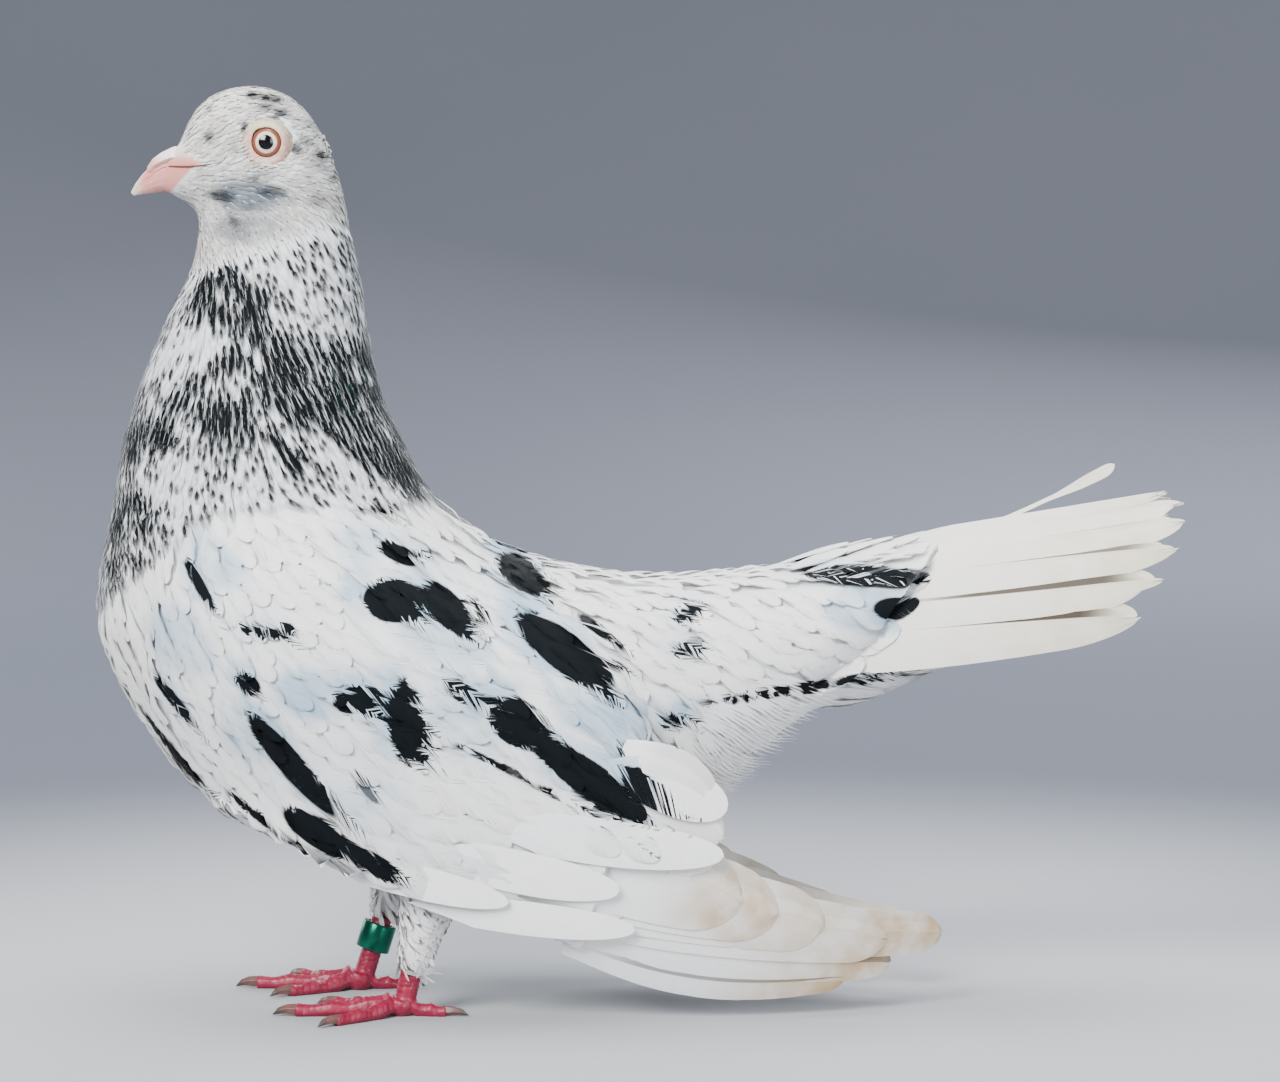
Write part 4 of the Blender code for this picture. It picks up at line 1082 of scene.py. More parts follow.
def ring_material():
    """Green anodised aluminium, rubbed paler where the mesh's tip value is high."""
    material, tree, shader = new_material("anodised_ring", 0.28, Metallic=0.9)
    worn = value_of(tree, "tip")
    scratch = noise(tree, 1400.0, 4.0)
    result = blend(tree, (0.010, 0.19, 0.115), (0.004, 0.085, 0.055), noise(tree, 220.0))
    wear = sums(tree, "MULTIPLY", worn, ranged(tree, scratch, 0.35, 0.7))
    result = blend(tree, result, (0.45, 0.55, 0.50), wear)
    tree.links.new(result, shader.inputs["Base Color"])
    bumped(tree, shader, scratch, 0.00002)
    return material


# ---------------------------------------------------------------- pieces of the bird

SIDES = ("left", "right")
BARE_RADIUS = 5.3             # of the ring without feather roots round each eye
BARE_AHEAD = 1.3              # how far its middle lies ahead of the eye's
BARE_EDGE = (6.9, 6.0)        # from and to these distances off the eye's axis the skin turns bare
FACE_RADIUS = 9.0             # of the smallest feathers round it


def unwrapped(obj):
    """Unwraps the skin alone, by its own shape, and returns one UV place for each triangle."""
    obj.data.uv_layers.new(name=UV_NAME)
    for other in bpy.context.selected_objects:
        other.select_set(False)
    bpy.context.view_layer.objects.active = obj
    obj.select_set(True)
    bpy.ops.object.mode_set(mode="EDIT")
    bpy.ops.mesh.select_all(action="SELECT")
    bpy.ops.uv.smart_project(angle_limit=math.radians(80), island_margin=0.003)
    bpy.ops.object.mode_set(mode="OBJECT")
    obj.select_set(False)
    mesh = obj.data
    uv = np.empty(len(mesh.loops) * 2, np.float32)
    mesh.uv_layers[UV_NAME].data.foreach_get("uv", uv)
    mesh.calc_loop_triangles()
    loops = np.empty(len(mesh.loop_triangles) * 3, np.int32)
    mesh.loop_triangles.foreach_get("loops", loops)
    return uv.reshape(-1, 2)[loops.reshape(-1, 3)].mean(1)


def eye_centre(side):
    """Middle and radius of an eye's solid."""
    low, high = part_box(f"eye_{side}")
    return box_middle(f"eye_{side}"), (high.z - low.z) / 2 / MM


def near_eyes(points, ahead=0.0):
    """Distance from the nearer eye's axis, or from a line some way ahead of it, seen from the side."""
    found = []
    for side in SIDES:
        x, _, z = eye_centre(side)[0]
        found.append(np.hypot(points[:, 0] - x + ahead, points[:, 2] - z))
    return np.minimum(*found)


def make_skin(skin, material):
    """The skin as a piece, with the coat's own marks, and bare round the eyes and beside the bill."""
    skin.mesh.name = "skin"
    obj = linked("skin", skin.mesh)
    finish_piece(obj, material, "plumage_body", *FLESH)
    skin.face_uv = unwrapped(obj)
    count = len(skin.points)
    edge, ink, blue = body_marks(skin.points, skin.flow, np.zeros(count), np.full(count, 0.2))
    head = skin.part == FLESH.index("head")
    edge[head], ink[head], blue[head] = (v[head] for v in head_marks(skin.points, np.zeros(count)))
    neck = skin.part == FLESH.index("neck")
    dark = neck_darkness(skin.points)
    edge[neck] = np.where(random.random(count) < dark, -1.0, 1.0)[neck]
    by_bill = smooth(-0.8, 0.4, beside_bill(skin.points)) * head
    bare = np.maximum(smooth(*BARE_EDGE, near_eyes(skin.points)) * head, by_bill)
    pale = smooth(1.0, 3.4, skin.points[:, 2] - mouth_corner()[1] - 0.25 * by_bill)
    add_values(obj, mark=edge, ink=ink, blue=blue, tone=np.full(count, 0.5), along=np.full(count, 0.2),
               bare=bare, pale=pale)


def make_eye(side, material):
    """Eyeball with a slightly domed front, sunk into the head outside the ring that shows."""
    centre, radius = eye_centre(side)
    outward = outward_of(side)
    shape = bmesh.new()
    bmesh.ops.create_uvsphere(shape, u_segments=48, v_segments=32, radius=radius * EYE_SCALE * MM)
    for vert in shape.verts:
        x, y, z = vert.co / MM
        reach = math.hypot(x, y)
        front = DOME[0] * max(0.0, 1 - (reach / DOME[1]) ** 2) - sinking(reach)
        bulge = front if z > 0 else 0.0
        vert.co = Vector((x, outward * (z + bulge), outward * y)) * MM
    bmesh.ops.reverse_faces(shape, faces=shape.faces)
    eye = linked(f"eyeball_{side}", mesh_of(f"eyeball_{side}", shape))
    eye.location = Vector(centre) * MM
    finish_piece(eye, material, "eye", f"eye_{side}")


LID_INNER = 3.95
LID_OUTER = 7.6
LID_POINT = 2.35              # angle of the lids' front corner, from straight back, upwards
LID_POINT_WIDTH = 0.30        # of that corner, in radians
LID_STEPS = 96
LID_RINGS = 12
LID_THICK = 0.5
LID_DARK = (4.9, 5.9)         # from and to these distances off the eye's axis the lids turn dusky
EYE_SCALE = 0.97
EYE_SINKS = (4.2, 5.4, 1.6)   # from and to these distances off its axis the eyeball drops by the third
DOME = (0.35, 3.8)            # height and radius of the eyeball's domed front


def sinking(reach):
    """How far the eyeball drops at a distance from its axis."""
    start, stop, drop = EYE_SINKS
    return drop * float(smooth(start, stop, reach))


def eyeball_level(radius, reach):
    """Height of the seen eyeball over its centre, at a distance from its axis."""
    return math.sqrt(max(0.0, (radius * EYE_SCALE) ** 2 - reach ** 2)) - sinking(reach)


def make_lids(skin, side, material):
    """Bare, finely wrinkled ring from the eyeball out to the skin, drawn to a corner in front."""
    centre, radius = eye_centre(side)
    outward = outward_of(side)
    deep = abs(centre[1])
    flat = deep + eyeball_level(radius, LID_INNER)
    points, values, rims = [], [], []
    for i in range(LID_STEPS):
        angle = 2 * math.pi * i / LID_STEPS
        turn = math.atan2(math.sin(angle - LID_POINT), math.cos(angle - LID_POINT))
        corner = math.exp(-(turn / LID_POINT_WIDTH) ** 2)
        wrinkle = 0.06 * math.sin(angle * 31) + 0.05 * math.sin(angle * 19 + 1)
        direction = np.array((math.cos(angle), 0.0, math.sin(angle)))
        far = centre + direction * (LID_OUTER + corner * 1.2)
        hit = from_aside(skin.tree, outward, far[0], far[2])[0]
        edge_out = abs(hit.y) if hit else deep + radius * 0.5
        for j in range(LID_RINGS):
            share = j / (LID_RINGS - 1)
            reach = LID_INNER + (LID_OUTER - LID_INNER) * share + corner * (0.2 + 1.0 * share)
            on_eye = deep + eyeball_level(radius, reach)
            level = flat + (edge_out - flat) * float(smooth(0.1, 0.85, share))
            level = max(level, on_eye + 0.1) if reach < radius else level
            swell = 0.42 * math.sin(math.pi * min(1.0, 0.16 + share * 1.3)) ** 0.7
            swell += wrinkle * math.sin(math.pi * min(1.0, share * 2.4))
            groove = -0.18 * math.exp(-((share - 0.17) / 0.045) ** 2)
            place = centre + direction * reach
            place[1] = outward * (level + 0.12 + swell + groove - 0.35 * share ** 4)
            points.append(place)
            values.append(float(smooth(-0.2, 0.9, math.sin(angle))))
            rims.append(0.6 * float(smooth(*LID_DARK, reach)))
    faces = grid_faces(LID_STEPS, LID_RINGS, round_rows=True)
    if outward > 0:
        faces = turned_over(faces)
    obj = mesh_object(f"lids_{side}", np.array(points), faces, material)
    add_values(obj, tip=values, rim=rims)
    thick = obj.modifiers.new("thickness", "SOLIDIFY")
    thick.thickness = LID_THICK * MM
    thick.offset = -1.0


def refined(name, nodes, voxel, soften, grow, shape_it, material, slot):
    """A fine, softened piece in place of some solids; shape_it moves its points and gives their values."""
    mesh = fused(((nodes, grow),), voxel, soften)
    mesh.name = name
    points, _, _ = arrays(mesh)
    normals = np.empty(len(points) * 3, np.float32)
    mesh.vertices.foreach_get("normal", normals)
    points, values = shape_it(points, normals.reshape(-1, 3).astype(float))
    mesh.vertices.foreach_set("co", (points.astype(np.float32) * MM).ravel())
    mesh.update()
    obj = linked(name, mesh)
    add_values(obj, **values)
    finish_piece(obj, material, slot, *nodes)


def finish_piece(obj, material, slot, *nodes):
    """Gives a piece its material, and lets it stand for some solids; slot is not used."""
    obj.data.materials.clear()
    obj.data.materials.append(material)
    obj.data.shade_smooth()
    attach(obj, "root")
    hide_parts(*nodes)


ROOTED = 2.4                  # how far bill and cere run back under the skin


def forward_in(node, points):
    """How far forward each point lies, as a share of a solid's length."""
    low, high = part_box(node)
    return (high.x / MM - points[:, 0]) / ((high.x - low.x) / MM)


def shaped_bill(points, normals):
    """Pale tip and a nostril slit under the front of the cere."""
    share = forward_in("bill_upper", points)
    slit = np.exp(-((share - 0.46) / 0.13) ** 2) * np.exp(-((np.abs(points[:, 1]) - 2.5) / 0.7) ** 2)
    points = points - normals * (0.45 * slit * (normals[:, 2] > -0.2))[:, None]
    points[:, 0] += ROOTED * smooth(0.3, 0.8, normals[:, 0])
    return points, {"tip": smooth(0.62, 0.98, share)}


def shaped_cere(points, normals):
    """Two swollen halves with a groove between, pinker towards the nostrils."""
    groove = 0.35 * np.exp(-(points[:, 1] / 0.8) ** 2) * (normals[:, 2] > 0)
    uneven = 0.03 * np.sin(points[:, 0] * 5.1 + np.sin(points[:, 1] * 4.0)) * np.sin(points[:, 2] * 4.3)
    low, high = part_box("cere")
    front = forward_in("cere", points)
    below = (high.z / MM - points[:, 2]) / ((high.z - low.z) / MM)
    moved = points + normals * (uneven - groove)[:, None]
    moved[:, 0] += ROOTED * smooth(0.3, 0.8, normals[:, 0])
    return moved, {"tip": smooth(0.75, 1.45, front + below)}


SCUTE = 1.75                  # length of one scale along toes and shank
SCUTE_DEPTH = 0.20
PEBBLE_HEIGHT = 0.10          # of the pads' grains
SHANK_STARTS = (6.0, 8.5)     # from and to these heights the toes' scales give way to the shank's
SOLE = 0.3                    # below this height the foot stays flat
CLAW_ROOTED = 1.3             # how far a claw runs back into its toe


def shaped_foot(centre):
    """Moves the points of the foot round a shank."""
    def scaled(points, normals):
        """Bands of scales across the toes and shank, round pads below."""
        x, y, z = points.T
        flat = np.hypot(x - centre[0], y - centre[1])
        on_shank = smooth(*SHANK_STARTS, z)
        along = flat * (1 - on_shank) + z * 1.1 * on_shank
        band = np.abs(np.sin(math.pi * along / SCUTE))
        groove = smooth(0.42, 0.0, band)
        above = smooth(-0.35, 0.25, normals[:, 2]) * (1 - on_shank) + on_shank
        angle = np.arctan2(y - centre[1], x - centre[0])
        pebble = np.abs(np.sin(x * 3.3) * np.sin(y * 3.6 + angle) * np.sin(z * 3.1))
        lift = -SCUTE_DEPTH * groove * above + PEBBLE_HEIGHT * pebble * (1 - above)
        keep = z > SOLE
        moved = points + normals * (lift * keep)[:, None]
        moved[:, 2] = np.maximum(moved[:, 2], 0.0)
        # the groove value marks where painted shade darkens the scales' grooves and the gaps between the
        # pads' grains
        return moved, {"groove": groove * above + 0.5 * (1 - above) * (1 - pebble)}
    return scaled


def make_feet(material, horn):
    """Scaled feet with their shanks, and the claws."""
    for side in SIDES:
        centre = box_middle(f"shank_{side}")[:2]
        refined(f"scaled_foot_{side}", (f"foot_{side}", f"shank_{side}"), 0.42, 6, 0.26, shaped_foot(centre),
                material, "foot_skin")
        for toe in ("inner", "middle", "outer", "hind"):
            refined(f"nail_{side}_{toe}", (f"claw_{side}_{toe}",), 0.16, 3, 0.05, shaped_claw(centre), horn,
                    "claw")


def shaped_claw(centre):
    """Moves the points of a claw of the foot round a shank."""
    def pointed(points, normals):
        """Runs the claw's root back into its toe."""
        reach = np.hypot(points[:, 0] - centre[0], points[:, 1] - centre[1])
        share = (reach - reach.min()) / (reach.max() - reach.min())
        outward = unit(points[:, :2] - centre)
        points[:, :2] -= outward * (CLAW_ROOTED * smooth(0.25, 0.0, share))[:, None]
        points[:, 2] = np.maximum(points[:, 2], 0.0)
        return points, {"tip": smooth(0.3, 1.0, share)}
    return pointed


RING_ROUND = 0.3              # how far the ring's edges are rounded off
RING_STEPS = 96


def ring_axis(offsets):
    """The direction from which the ring's points lie most evenly far."""
    def unevenness(axis):
        return np.linalg.norm(offsets - np.outer(offsets @ axis, axis), axis=1).std()

    axis = min(np.linalg.eigh(np.cov(offsets.T))[1].T, key=unevenness)
    return axis if axis[2] > 0 else -axis


def make_ring(material):
    """Plain closed band round the leg, turned from a rounded profile."""
    centre = box_middle("leg_ring")
    points, _, _ = arrays(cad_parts["leg_ring"].data)
    offsets = points - centre
    axis = ring_axis(offsets)
    level = offsets @ axis
    radii = np.linalg.norm(offsets - np.outer(level, axis), axis=1)
    inner, outer, half = radii.min(), radii.max(), level.max()
    side = unit(np.cross(axis, (0.0, 1.0, 0.0)))
    other = np.cross(axis, side)
    cut = 0.3 * RING_ROUND
    edge = ((outer - RING_ROUND, half), (outer - cut, half - cut), (outer, half - RING_ROUND))
    profile = [(inner, -half)] + [(radius, -height) for radius, height in edge]
    profile += [*edge[::-1], (inner, half)]
    made, worn = [], []
    for i in range(RING_STEPS):
        turn = 2 * math.pi * i / RING_STEPS
        for radius, height in profile:
            made.append(centre + axis * height + (side * math.cos(turn) + other * math.sin(turn)) * radius)
            worn.append(1.0 if outer - 0.2 < radius < outer or abs(height) == half else 0.1)
    made = np.array(made)
    faces = facing_out(made, grid_faces(RING_STEPS, len(profile), round_rows=True, round_columns=True))
    ring = mesh_object("plain_leg_ring", made, faces, material)
    ring.data.set_sharp_from_angle(angle=math.radians(40))
    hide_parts("leg_ring")


MOUTH_STEPS = 18
MOUTH_SIDES = 6               # of the line's round section


def make_mouth_line(skin, side, material):
    """Dark, fine line of the closed mouth, from the bill back over the cheek."""
    start = mouth_corner() - (1.0, 0.0)
    stop = spot(*MOUTH_END)
    points = []
    for i in range(MOUTH_STEPS):
        share = i / (MOUTH_STEPS - 1)
        x, z = start + (stop - start) * share
        z -= 0.5 * math.sin(math.pi * share)
        hit = from_aside(skin.tree, outward_of(side), x, z)
        if hit[0] is None:
            continue
        normal = np.array(skin.face_normal[hit[2]])
        centre = np.array(hit[0]) + normal * (0.05 + 0.55 * share)
        radius = 0.20 * math.sin(math.pi * min(1.0, 0.15 + share)) ** 0.5 + 0.07
        across = unit(np.cross(normal, (1.0, 0.0, 0.0)))
        for j in range(MOUTH_SIDES):
            turn = 2 * math.pi * j / MOUTH_SIDES
            points.append(centre + normal * radius * 0.6 * math.cos(turn) + across * radius * math.sin(turn))
    points = np.array(points)
    faces = facing_out(points, grid_faces(len(points) // MOUTH_SIDES, MOUTH_SIDES, round_columns=True))
    mesh_object(f"mouth_line_{side}", points, faces, material)


# ---------------------------------------------------------------- flight feathers

# root and tip as shares of the node's box in side view, width, bend; the first lies outermost
SECONDARIES = (
    ((0.154, 0.913), (0.934, 0.598), 15.0, 3.0), ((0.093, 0.703), (0.989, 0.463), 16.0, 3.0),
    ((0.002, 0.493), (0.946, 0.337), 17.0, 3.0), ((-0.09, 0.303), (0.745, 0.249), 17.0, 2.0),
    ((-0.212, 0.135), (0.367, 0.165), 16.0, 1.0),
)
PRIMARIES_LEFT = (
    ((-0.013, 0.789), (0.434, 0.578), 25.0, 2.0), ((-0.013, 0.707), (0.533, 0.500), 23.0, 2.0),
    ((-0.034, 0.624), (0.664, 0.421), 21.0, 2.0), ((-0.034, 0.549), (0.837, 0.322), 19.0, 1.0),
    ((-0.034, 0.487), (0.999, 0.322), 15.0, 0.0), ((-0.055, 0.409), (0.852, 0.177), 12.0, -2.0),
    ((-0.055, 0.347), (0.725, 0.107), 10.0, -5.0),
)
PRIMARIES_RIGHT = (
    ((-0.007, 0.803), (0.406, 0.510), 25.0, 2.0), ((-0.007, 0.722), (0.510, 0.444), 23.0, 2.0),
    ((-0.029, 0.642), (0.647, 0.378), 21.0, 2.0), ((-0.029, 0.570), (0.829, 0.295), 19.0, 1.0),
    ((-0.029, 0.510), (0.999, 0.295), 15.0, 0.0), ((-0.051, 0.434), (0.844, 0.173), 12.0, -2.0),
    ((-0.051, 0.374), (0.711, 0.114), 10.0, -5.0),
)
FLIGHT_ROWS = {
    "secondaries_left": SECONDARIES, "secondaries_right": SECONDARIES,
    "primaries_left": PRIMARIES_LEFT, "primaries_right": PRIMARIES_RIGHT,
}
# Broad soft feathers over the rear of the folded wing: root and tip as shares of its box, width, height
LOBES = (
    ((0.50, 0.125), (0.965, 0.070), 13.0, 0.6), ((0.30, 0.236), (0.720, 0.135), 13.0, 0.7),
    ((0.50, 0.262), (0.935, 0.166), 16.0, 0.9), ((0.62, 0.325), (1.137, 0.245), 17.0, 1.2),
    ((0.90, 0.475), (1.142, 0.350), 19.0, 1.5),
)
LOBE_CEILING = 78.0           # the wing's side is fitted below this height for them
TIP_ROUND = 0.5               # length of a vane's rounded tip, as a share of its width
LOBE_DEEP = 3.5               # how far their roots lie below their tips
# Kind, place of the outermost feather in steps, step inwards, stain, and the first with darker painted shade
# in its gap
WING_ROWS = (("secondaries", 1.2, 0.35, 0.25, math.inf), ("primaries", 3.0, 0.5, 1.0, 5))
WING_DEEP = 0.9               # how far the folded feathers sink into their solid
VANE_THICK = 0.42
VANE_ROWS = 34
VANE_COLUMNS = 11
SHAFT_RISE = 0.22             # how far the shaft stands out of its vane
CAMBER = 0.35
TAIL_FEATHERS = 12
TAIL_SPREAD = 86.0
# ridge (u, w), half width, drop and how far the lower edge lies ahead, at root and tip
TAIL_ROOF = (((0.740, 0.502), 20.6, 41.4, 27.0), ((0.988, 0.5495), 25.0, 33.6, 4.0))
STRAY = ((0.700, 0.474, 5.0), (0.941, 0.5855, 8.0), 6.0)    # root and tip (u, w, y), width
STRAY_SAG = 2.8


def vane_solid(root, tip, width, bend, chart, thick=VANE_THICK, lift=0.0, lean=0.0, tip_round=TIP_ROUND,
               ragged=0.0, dive=0.0, seen_from=0.35, slender=False):
    """Closed thin feather laid on a chart that turns (a, b, height) into places.

    lift is its height, lean how far its shaft lies off the middle, ragged how uneven its tip is, dive
    how deep its root sinks, seen_from the share of its length by which it is up, and slender makes it
    a bare shaft with a small vane at its end.  Gives points, faces and each point's share along,
    share across, and barb phase.
    """
    root, tip = np.array(root, float), np.array(tip, float)
    length = np.linalg.norm(tip - root)
    ahead = (tip - root) / length
    side = np.array((-ahead[1], ahead[0]))
    rows = 1 - (1 - np.linspace(0, 1, VANE_ROWS)) ** 1.5
    columns = np.linspace(-1, 1, VANE_COLUMNS)
    notches = random.uniform(0.3, 0.95, 3), random.uniform(0.0, 0.10, 3), random.choice((-1, 1), 3)
    jags = random.uniform(-1, 1, VANE_COLUMNS)
    top, bottom, along, across, phase = [], [], [], [], []
    tip_share = tip_round * width / length
    for s in rows:
        near_tip = max(0.0, 1 - (1 - s) / tip_share)
        shape = 0.26 + 0.74 * float(smooth(0.72, 0.93, s)) if slender else 0.72 + 0.28 * math.sin(math.pi * s)
        half = width / 2 * shape * math.sqrt(max(0.0, 1.0025 - near_tip ** 2))
        level = lift - dive * float(smooth(seen_from, 0.0, s))
        centre = root + (tip - root) * s + side * bend * math.sin(math.pi * s)
        for v, jag in zip(columns, jags):
            notch = sum(depth * math.exp(-((s - at) / 0.012) ** 2) for at, depth, which in zip(*notches)
                        if which * v > 0)
            reach = v * (1 - notch * abs(v)) + lean * (1 - v * v)
            spot_2d = centre + side * half * reach + ahead * ragged * jag * near_tip ** 2
            camber = CAMBER * (1 - v * v) + (SHAFT_RISE if abs(v) < 0.05 else 0.0)
            edge = 1 - 0.6 * v * v
            top.append((*spot_2d, level + camber + thick * edge / 2))
            bottom.append((*spot_2d, level + camber * 0.4 - thick * edge / 2))
            along.append(s)
            across.append(v)
            phase.append(s * length - abs(v) * half * 0.9)
    points = chart(np.array(top + bottom))
    count = len(top)
    upper = grid_faces(VANE_ROWS, VANE_COLUMNS)
    grid = np.arange(count).reshape(VANE_ROWS, VANE_COLUMNS)
    rim = [*grid[0], *grid[1:, -1], *grid[-1, -2::-1], *grid[-2:0:-1, 0]]
    border = [(b, a, a + count, b + count) for a, b in zip(rim, rim[1:] + rim[:1])]
    faces = facing_out(points, np.concatenate((upper, turned_over(upper) + count, border)))
    return points, faces, np.array(along * 2), np.array(across * 2), np.array(phase * 2)


FIT_STEPS = 24                # rays each way to fit a wing's side


def fitted_side(nodes, ceiling):
    """Outward distance y of thin wing nodes, below a height, as a smooth function of (x, z)."""
    rows, hits = [], []
    for node in nodes:
        points, triangles, _ = arrays(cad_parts[node].data)
        sign = -1 if points[:, 1].mean() < 0 else 1
        tree = BVHTree.FromPolygons(points.tolist(), triangles.tolist())
        low, high = points.min(0), points.max(0)
        for x in np.linspace(low[0], high[0], FIT_STEPS):
            for z in np.linspace(low[2], min(high[2], ceiling), FIT_STEPS):
                hit = from_aside(tree, sign, x, z, 1.5 * ASIDE)[0]
                if hit:
                    rows.append((1.0, x, z, x * x, x * z, z * z))
                    hits.append(abs(hit.y))
    factors = np.linalg.lstsq(np.array(rows), np.array(hits), rcond=None)[0]

    def outward(x, z):
        return factors @ np.array((np.ones_like(x), x, z, x * x, x * z, z * z))

    return outward, sign


def side_chart(*nodes, ceiling=math.inf):
    """Turns (x, z, height) into places on the outer side of a wing."""
    outward, sign = fitted_side(nodes, ceiling)

    def chart(flat):
        x, z, height = flat.T
        return np.stack((x, sign * (outward(x, z) + height), z), 1)

    return chart


def joined_vanes(name, vanes, skin, material, node, stain, gap):
    """Several feathers as one mesh with their values and UV patches.

    gap gives the painted shade on each feather under its neighbour, and how far each place lies under it.
    """
    faces, total = [], 0
    tones, gaps, uv = [], [], []
    for number, (spots, quads, along, across, _) in enumerate(vanes):
        faces.append(quads + total)
        total += len(spots)
        gaps.append(np.stack(gap(number, along, across), 1))
        tones.append(np.full(len(spots), random.random()))
        root_face = skin.nearest(spots[:1])[1][0]
        uv.append(skin.face_uv[root_face] + np.stack((across / 2, along - 0.5), 1) * PATCH)
    points, along, across, barbs = (np.concatenate([vane[k] for vane in vanes]) for k in (0, 2, 3, 4))
    obj = mesh_object(name, points, np.concatenate(faces), material)
    obj.data.set_sharp_from_angle(angle=math.radians(50))
    dark, under = np.concatenate(gaps).T
    add_values(obj, along=along, across=across, barbs=barbs, tone=np.concatenate(tones), stain=stain(along),
               gap=dark, under=under)
    add_uv(obj, np.concatenate(uv))
    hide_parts(node)


def wing_stain(most):
    """Stain that grows towards the tips of a wing's feathers."""
    def stain(along):
        return most * smooth(0.40, 0.95, along)

    return stain


def wing_gap_shade(first):
    """Painted shade under each of a wing's feathers, darker from the first one with a gap on."""
    def gap(number, along, across):
        dark = number >= first
        return smooth(0.0, 0.3, along) * (0.7 if dark else 0.12), across + (0.12 if dark else -0.4)

    return gap


def make_wing_vanes(skin, side, material, plume):
    """Flight feathers of a folded wing, and the broad soft ones over their roots."""
    for kind, first, step, stain, first_gap in WING_ROWS:
        node = f"{kind}_{side}"
        low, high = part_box(node)
        chart = side_chart(node)
        vanes = [vane_solid(in_box(low, high, root), in_box(low, high, tip), width, bend, chart,
                            lift=(first - i) * step - WING_DEEP, lean=0.15, ragged=0.5, dive=2.2,
                            seen_from=0.3)
                 for i, (root, tip, width, bend) in enumerate(FLIGHT_ROWS[node])]
        joined_vanes(f"{kind}_vanes_{side}", vanes, skin, material, node, wing_stain(stain),
                     wing_gap_shade(first_gap))
    low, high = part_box(f"wing_{side}")
    chart = side_chart(f"wing_{side}", f"secondaries_{side}", ceiling=LOBE_CEILING)
    feathers = []
    for root, tip, width, lift in LOBES:
        start, stop = np.array(in_box(low, high, root)), np.array(in_box(low, high, tip))
        across, up = stop - start
        slope = math.degrees(math.atan2(up, across))
        feathers.append((*start, math.hypot(across, up), width, lift - LOBE_DEEP, lift, slope))
    lay_on_chart(skin, f"tertial_coverts_{side}", chart, feathers, CLOSED, plume, soft=0.95,
                 even=(0.99, 1.0))


def in_box(low, high, share):
    """Side-view place at shares of a box."""
    return ((low.x + share[0] * (high.x - low.x)) / MM, (low.z + share[1] * (high.z - low.z)) / MM)


def tail_chart(flat):
    """(share along, angle in degrees, height) to places on the tail's roof."""
    share, degrees, height = flat.T
    (root_place, width_0, drop_0, ahead_0), (tip_place, width_1, drop_1, ahead_1) = TAIL_ROOF
    (x0, z0), (x1, z1) = spot(*root_place), spot(*tip_place)
    angle = np.radians(degrees)
    fall = 1 - np.cos(angle)
    x = x0 + (x1 - x0) * share - (ahead_0 + (ahead_1 - ahead_0) * share) * fall
    y = (width_0 + (width_1 - width_0) * share + height) * np.sin(angle)
    z = z0 + (z1 - z0) * share - (drop_0 + (drop_1 - drop_0) * share) * fall + height * np.cos(angle)
    return np.stack((x, y, z), 1)


TAIL_GAP_SHADE = (0.08, 0.15, 0.25, 0.85, 0.95, 1.0)    # painted shade of the gap over each feather, from the ridge out
TAIL_LONGER = (-1.0, 1.0, 1.8, 0.0, -3.5, -7.5)    # than the roof, from the ridge out
ROOF_RADIUS = 30.0            # turns the roof's angles into the chart's widths
ROOF_LENGTH = (spot(*TAIL_ROOF[1][0]) - spot(*TAIL_ROOF[0][0]))[0]
COVERT_ROWS = 4               # of long coverts over the tail's root
COVERT_STEP = 6.5
COVERT_ANGLES = 15


def roof_chart(flat):
    """(mm along, mm across, height) to places on the tail's roof."""
    scaled = flat.copy()
    scaled[:, 0] = flat[:, 0] / ROOF_LENGTH
    scaled[:, 1] = np.degrees(flat[:, 1] / ROOF_RADIUS)
    return tail_chart(scaled)


def tail_stain(along):
    """Stain of the tail's feathers, stronger towards their tips."""
    return 0.15 + 0.75 * smooth(0.35, 1.0, along)


def tail_gap_shade(number, along, across):
    """Painted shade on each tail feather just under the one above it, and how far each place lies under it.
    """
    if number >= TAIL_FEATHERS:
        return np.zeros(len(along)), np.zeros(len(along))
    side, rank = divmod(number, TAIL_FEATHERS // 2)
    inwards = across if side == 0 else -across
    start = 0.12 if rank < 3 else 0.03
    seen = smooth(0.2, 0.5, along) * smooth(1.0, 0.86, along)
    return TAIL_GAP_SHADE[rank] * seen, inwards - start - 0.16 * (1 - along)


def make_tail(skin, material):
    """Twelve feathers fanned over a rounded roof, each over its outer neighbour, and a stray one above."""
    half = TAIL_FEATHERS // 2
    band = math.radians(TAIL_SPREAD) / half * ROOF_RADIUS
    vanes = []
    for sign in (-1, 1):
        for i in range(half):
            place = sign * band * (i + 0.5)
            reach = ROOF_LENGTH + TAIL_LONGER[i] + random.uniform(-0.8, 0.8) - 1.2
            bend = sign * random.uniform(-0.5, 1.4)
            lift = 2.2 - 0.28 * i + 0.25 * (sign < 0) * (i == 0)
            tip_round = random.uniform(0.45, 0.7) + 0.4 * (i > 2)
            vanes.append(vane_solid((-14.0, place * 0.82), (reach, place), band * 1.75, bend, roof_chart,
                                    lift=lift, lean=-0.12 * sign, tip_round=tip_round, ragged=2.6, dive=3.2))
    (u0, w0, y0), (u1, w1, y1), width = STRAY
    start, stop = np.array((*spot(u0, w0), y0)), np.array((*spot(u1, w1), y1))
    reach = np.linalg.norm(stop - start)

    def raised(flat):
        """(mm along, mm across, height) to places on the stray feather's line."""
        ahead = (stop - start) / reach
        run, aside, height = flat.T
        x, z, y = (start[None] + run[:, None] * ahead[None]).T
        sag = -STRAY_SAG * np.sin(np.pi * np.clip(run / reach, 0, 1))
        return np.stack((x, y + aside * 0.6, z + aside * 0.5 + height + sag), 1)

    vanes.append(vane_solid((0.0, 0.0), (reach, 0.0), width, 0.3, raised, thick=0.3, slender=True))
    joined_vanes("tail_vanes", vanes, skin, material, "tail", tail_stain, tail_gap_shade)


